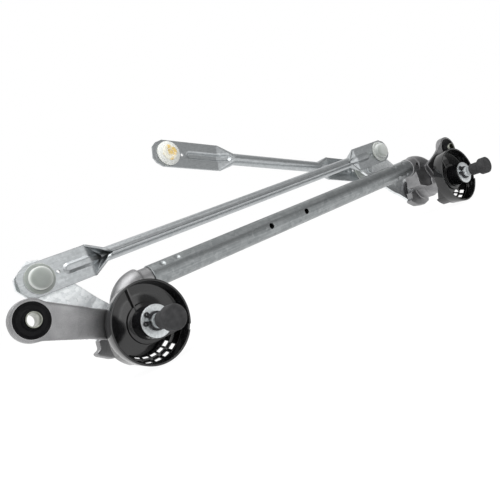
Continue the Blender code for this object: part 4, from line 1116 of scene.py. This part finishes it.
# Ball studs: cold-headed steel with a ground ball, riveted through the crank plates.
# Two face the wiper side for the coupling rod, the third faces back for the motor rod.
BALL_RADIUS = 6.5
BALL_STEPS = 19
BALL_FIRST = -84
BALL_STEP = 7.75
COUPLING_PLANE = 77.7
MOTOR_PLANE = 103.3
STUD_REST = (
    (3.8, 8.3),
    (7.4, 8.3),
    (7.4, 10.5),
    (4.0, 10.5),
    (4.0, 15.1),
    (6.4, 15.1),
    (6.4, 15.9),
    (5.2, 16.5),
    (4.0, 16.7),
)
stud_profile = []
for step in range(BALL_STEPS):
    angle = math.radians(BALL_FIRST + step * BALL_STEP)
    stud_profile.append((BALL_RADIUS * math.cos(angle), BALL_RADIUS * math.sin(angle)))
stud_profile += list(STUD_REST)
for name, body, x, angle, plane, sense in (
    ("near_ball_stud", "near_shaft", 0.0, REST_ANGLE, COUPLING_PLANE, 1),
    ("far_ball_stud", "far_shaft", SHAFT_SPACING, REST_ANGLE, COUPLING_PLANE, 1),
    ("motor_ball_stud", "far_shaft", SHAFT_SPACING, MOTOR_BALL_ANGLE, MOTOR_PLANE, -1),
):
    across, up = ball_spot(x, angle)
    profile = [(radius, sense * depth) for radius, depth in stud_profile]
    stud = turned(name + "_steel", at(across, plane, up), profile, 64)
    eased(stud, 0.15, 2, 50)
    smoothed(stud, zinc, 30)
    fitted(stud, body, name)

# Rods: each one is blanked from a single strip of zinc plated sheet.
# Its flat ends are beaded and then curled round until they meet as a tube.
# The coupling rod curls toward the front, the motor rod toward the back.
ROD_SHEET = 2.0
ROD_CORE = 5.7
ROD_HALF = 14.7
ROD_TUBE_HALF = 17.8
ROD_TIP_SPOTS = (-18.0, -14.0, -6.7)
ROD_TIP_HALVES = (6.15, 11.15, ROD_HALF)
ROD_TIP_ROWS = (-18.0, -17.9, -14.0, -10.0, -6.7)
ROD_SETBACK = 6.7
BEAD_START = 26.6
BEAD_HALF = 5.0
BEAD_HEIGHT = 2.2
BEAD_RIM = 0.6
SOCKET_HOLE = 8.3
PIN_HOLE = 1.8
PIN_OFFSET = 16.8
PUNCH_REACH = 5.0
ACROSS_STEPS = 56
MOTOR_ROD_LENGTH = 294.1
MOTOR_ROD_HEADING = 161.35
# The direction of a rod's first ball, its plane, its heading and its length.
ROD_LINES = {
    "coupling_rod": (REST_ANGLE, COUPLING_PLANE, 180.0, SHAFT_SPACING),
    "motor_rod": (MOTOR_BALL_ANGLE, MOTOR_PLANE, MOTOR_ROD_HEADING, MOTOR_ROD_LENGTH),
}
# Where a rod's flat ends, is half curled and is a tube, its bead's end and
# pinch, and the side it curls to: -1 for the front.
ROD_SHAPES = {
    "coupling_rod": ((47.0, 61.0, 69.0), 55.0, 0.5, -1),
    "motor_rod": ((62.0, 82.0, 89.0), 73.0, 0.0, 1),
}


def strip_place(out, share, folds, bead_end, pinch):
    """Depth and height of a strip's middle layer, out along it from one end."""
    flat, folded, closed = folds
    fold = min(1.0, max(0.0, (out - flat) / (folded - flat)))
    close = min(1.0, max(0.0, (out - folded) / (closed - folded)))
    half = ROD_HALF + (ROD_TUBE_HALF - ROD_HALF) * close
    if out <= flat:
        half = float(np.interp(out, ROD_TIP_SPOTS, ROD_TIP_HALVES))
    reach = half + (ROD_CORE - half) * fold
    bend = ROD_CORE * fold
    turn = math.pi / 2 + (ROD_TUBE_HALF / ROD_CORE - math.pi / 2) * close
    along = abs(share) * half
    level = min(along, reach - bend)
    bent = min(along - level, bend * turn)
    angle = bent / bend if bend else 0.0
    rest = along - level - bent
    depth = bend * (1 - math.cos(angle)) + rest * math.sin(turn)
    height = level + bend * math.sin(angle) + rest * math.cos(turn)
    off = math.hypot(min(0.0, out - BEAD_START) + max(0.0, out - bead_end), along)
    thin = 1 - pinch * fold
    swell = min(1.0, max(0.0, (BEAD_HALF * thin - off) / (BEAD_RIM * BEAD_HALF * thin)))
    depth += BEAD_HEIGHT * thin * swell * swell * (3 - 2 * swell)
    depth -= ROD_SETBACK * fold
    return depth, math.copysign(height, share)


strip, tree, shader, coords = new_material("zinc_strip", Metallic=1.0)
skin = use_group(tree, zinc_skin, {"Vector": coords, "Patches": 420.0, "Grain": 1600.0})
lines = use_group(tree, drawn_lines, {"Vector": coords, "Stretch": (0.05, 1, 1), "Count": 900.0})
inputs = {"Factor": 0.55, "A": skin.outputs["Shade"], "B": lines.outputs["Lines"]}
blended = place_node(tree, "Mix", inputs)
color = shade_ramp(
    tree,
    blended.outputs[0],
    ((0.28, (0.36, 0.38, 0.39)), (0.50, (0.45, 0.47, 0.48)), (0.72, (0.54, 0.565, 0.575))),
)
edge_colored(tree, shader, color, 0.0005, 0.75, (0.20, 0.22, 0.225))
roughened(tree, shader, blended.outputs[0], 0.46, 0.26)
bumped(tree, shader, blended.outputs[0], 0.2, 0.0002)

for name, (angle, plane, heading, length) in ROD_LINES.items():
    folds, bead_end, pinch, sense = ROD_SHAPES[name]
    start_across, start_up = ball_spot(SHAFT_SPACING, angle)
    course = math.radians(heading)
    rows = list(ROD_TIP_ROWS) + list(np.linspace(-5, folds[0], 60))
    rows += list(np.linspace(folds[0] + 0.4, folds[2], 40))
    rows += list(np.linspace(folds[2] + 4, length / 2, 12))
    rows += [length - out for out in reversed(rows[:-1])]

    def rod_point(column, row):
        out = rows[row]
        share = 2 * column / ACROSS_STEPS - 1
        depth, height = strip_place(min(out, length - out), share, folds, bead_end, pinch)
        across = start_across + out * math.cos(course) - height * math.sin(course)
        up = start_up + out * math.sin(course) + height * math.cos(course)
        return at(across, plane + sense * depth, up)

    rod = shaped_grid(name + "_strip", ACROSS_STEPS, len(rows) - 1, rod_point)
    worked(rod, "SOLIDIFY", thickness=ROD_SHEET * MM, offset=0.0)
    eased(rod, 0.3, 2, 60)
    holes = [(0, SOCKET_HOLE), (length, SOCKET_HOLE)]
    holes += [(PIN_OFFSET, PIN_HOLE), (length - PIN_OFFSET, PIN_HOLE)]
    for out, radius in holes:
        up = start_up + out * math.sin(course)
        spot = at(start_across + out * math.cos(course), plane, up)
        ends = ((radius, -PUNCH_REACH), (radius, PUNCH_REACH))
        cut(rod, turned("rod_punch", spot, ends, 48))
    smoothed(rod, strip, 35)
    fitted(rod, name, name)

# Ball sockets: milky nylon, snapped into the rods' ends and over the studs' balls.
# The motor rod's free one still waits for the motor's crank, with grease in its mouth.
DOME_RADIUS = 9.8
# Domes turned to the front (1) stand higher than those turned to the back.
DOME_TOPS = {1: 10.3, -1: 8.1}
DOME_SHOULDER = 6.6
DOME_STEPS = 12
DOME_FLATNESS = 0.7
DOME_FULLNESS = 0.6
SOCKET_SIDE = (
    (9.8, -2.9),
    (13.2, -2.9),
    (13.2, -1.3),
    (8.0, -1.3),
    (8.0, 1.3),
    (13.2, 1.3),
    (13.2, 2.9),
    (9.0, 5.0),
    (6.0, 5.0),
)
CAVITY_RADIUS = 6.8
CAVITY_STEPS = 12
CAVITY_FIRST = 62
CAVITY_STEP = 13.2
GREASE_PROFILE = (
    (4.8, -3.0),
    (5.4, -5.3),
    (8.2, -5.25),
    (8.5, -5.5),
    (7.6, -6.0),
    (5.5, -5.9),
    (3.0, -5.5),
    (1.0, -5.4),
)


def socket_outline(sense):
    """A socket's outline from the top of its dome round into the ball's cavity."""
    outline = []
    for step in range(1, DOME_STEPS + 1):
        angle = math.radians(90 / DOME_STEPS * step)
        bulge = math.cos(angle) ** DOME_FLATNESS if step < DOME_STEPS else 0.0
        rise = DOME_SHOULDER + (DOME_TOPS[sense] - DOME_SHOULDER) * bulge
        outline.append((DOME_RADIUS * math.sin(angle) ** DOME_FULLNESS, -rise))
    outline += list(SOCKET_SIDE)
    for step in range(CAVITY_STEPS):
        angle = math.radians(CAVITY_FIRST - CAVITY_STEP * step)
        outline.append((CAVITY_RADIUS * math.cos(angle), CAVITY_RADIUS * math.sin(angle)))
    return [(radius, sense * depth) for radius, depth in outline]


milky, tree, shader, coords = new_material(
    "milky_nylon",
    Metallic=0.0,
    Roughness=0.45,
    Subsurface_Weight=0.3,
    Subsurface_Radius=(1.0, 1.0, 0.9),
    Subsurface_Scale=0.002,
)
veil = noise(tree, coords, 150.0, 2.0)
colored(tree, shader, veil, ((0.35, (0.66, 0.67, 0.64)), (0.65, (0.74, 0.75, 0.72))))

# Domes over a ball are coloured darker where the surface faces the camera: partly the ball seen
# through the nylon, partly painted shade, which darkens the near coupling socket most.
over_ball_painted_shade, tree, shader, coords = new_material(
    "milky_nylon_over_ball",
    Metallic=0.0,
    Roughness=0.42,
    Subsurface_Weight=0.5,
    Subsurface_Radius=(1.0, 1.0, 0.9),
    Subsurface_Scale=0.003,
)
veil = noise(tree, coords, 120.0, 3.0)
# The facing value carries that darkening: the ball seen through the nylon and painted shade both.
depth = place_node(tree, "LayerWeight", {"Blend": 0.5})
painted_shade_and_cloud = place_node(tree, "Mix", {"Factor": 0.12, "A": depth.outputs["Facing"], "B": veil})
colored(
    tree,
    shader,
    painted_shade_and_cloud.outputs[0],
    ((0.05, (0.28, 0.305, 0.285)), (0.50, (0.66, 0.68, 0.66))),
)
bumped(tree, shader, veil, 0.1, 0.0003)

free_across, free_up = ball_spot(SHAFT_SPACING, MOTOR_BALL_ANGLE)
free_across += MOTOR_ROD_LENGTH * math.cos(math.radians(MOTOR_ROD_HEADING))
free_up += MOTOR_ROD_LENGTH * math.sin(math.radians(MOTOR_ROD_HEADING))
near_ball = ball_spot(0.0, REST_ANGLE)
far_ball = ball_spot(SHAFT_SPACING, REST_ANGLE)
motor_ball = ball_spot(SHAFT_SPACING, MOTOR_BALL_ANGLE)
for name, body, (across, up), plane, sense in (
    ("coupling_near_socket", "coupling_rod", near_ball, COUPLING_PLANE, 1),
    ("coupling_far_socket", "coupling_rod", far_ball, COUPLING_PLANE, 1),
    ("motor_far_socket", "motor_rod", motor_ball, MOTOR_PLANE, -1),
    ("motor_free_socket", "motor_rod", (free_across, free_up), MOTOR_PLANE, -1),
):
    socket = turned(name + "_nylon", at(across, plane, up), socket_outline(sense), 96)
    eased(socket, 0.3, 3, 50)
    smoothed(socket, milky if name == "motor_free_socket" else over_ball_painted_shade, 40)
    fitted(socket, body, name)

grease, tree, shader, coords = new_material("amber_grease", Metallic=0.0, Roughness=0.25)
lumps = noise(tree, coords, 130.0, 3.0)
colored(tree, shader, lumps, ((0.48, (0.80, 0.78, 0.68)), (0.58, (0.76, 0.55, 0.20))))
bumped(tree, shader, lumps, 0.25, 0.0006)
blob = turned("free_socket_grease", at(free_across, MOTOR_PLANE, free_up), GREASE_PROFILE, 64)
smoothed(blob, grease, 60)
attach(blob, "motor_rod")
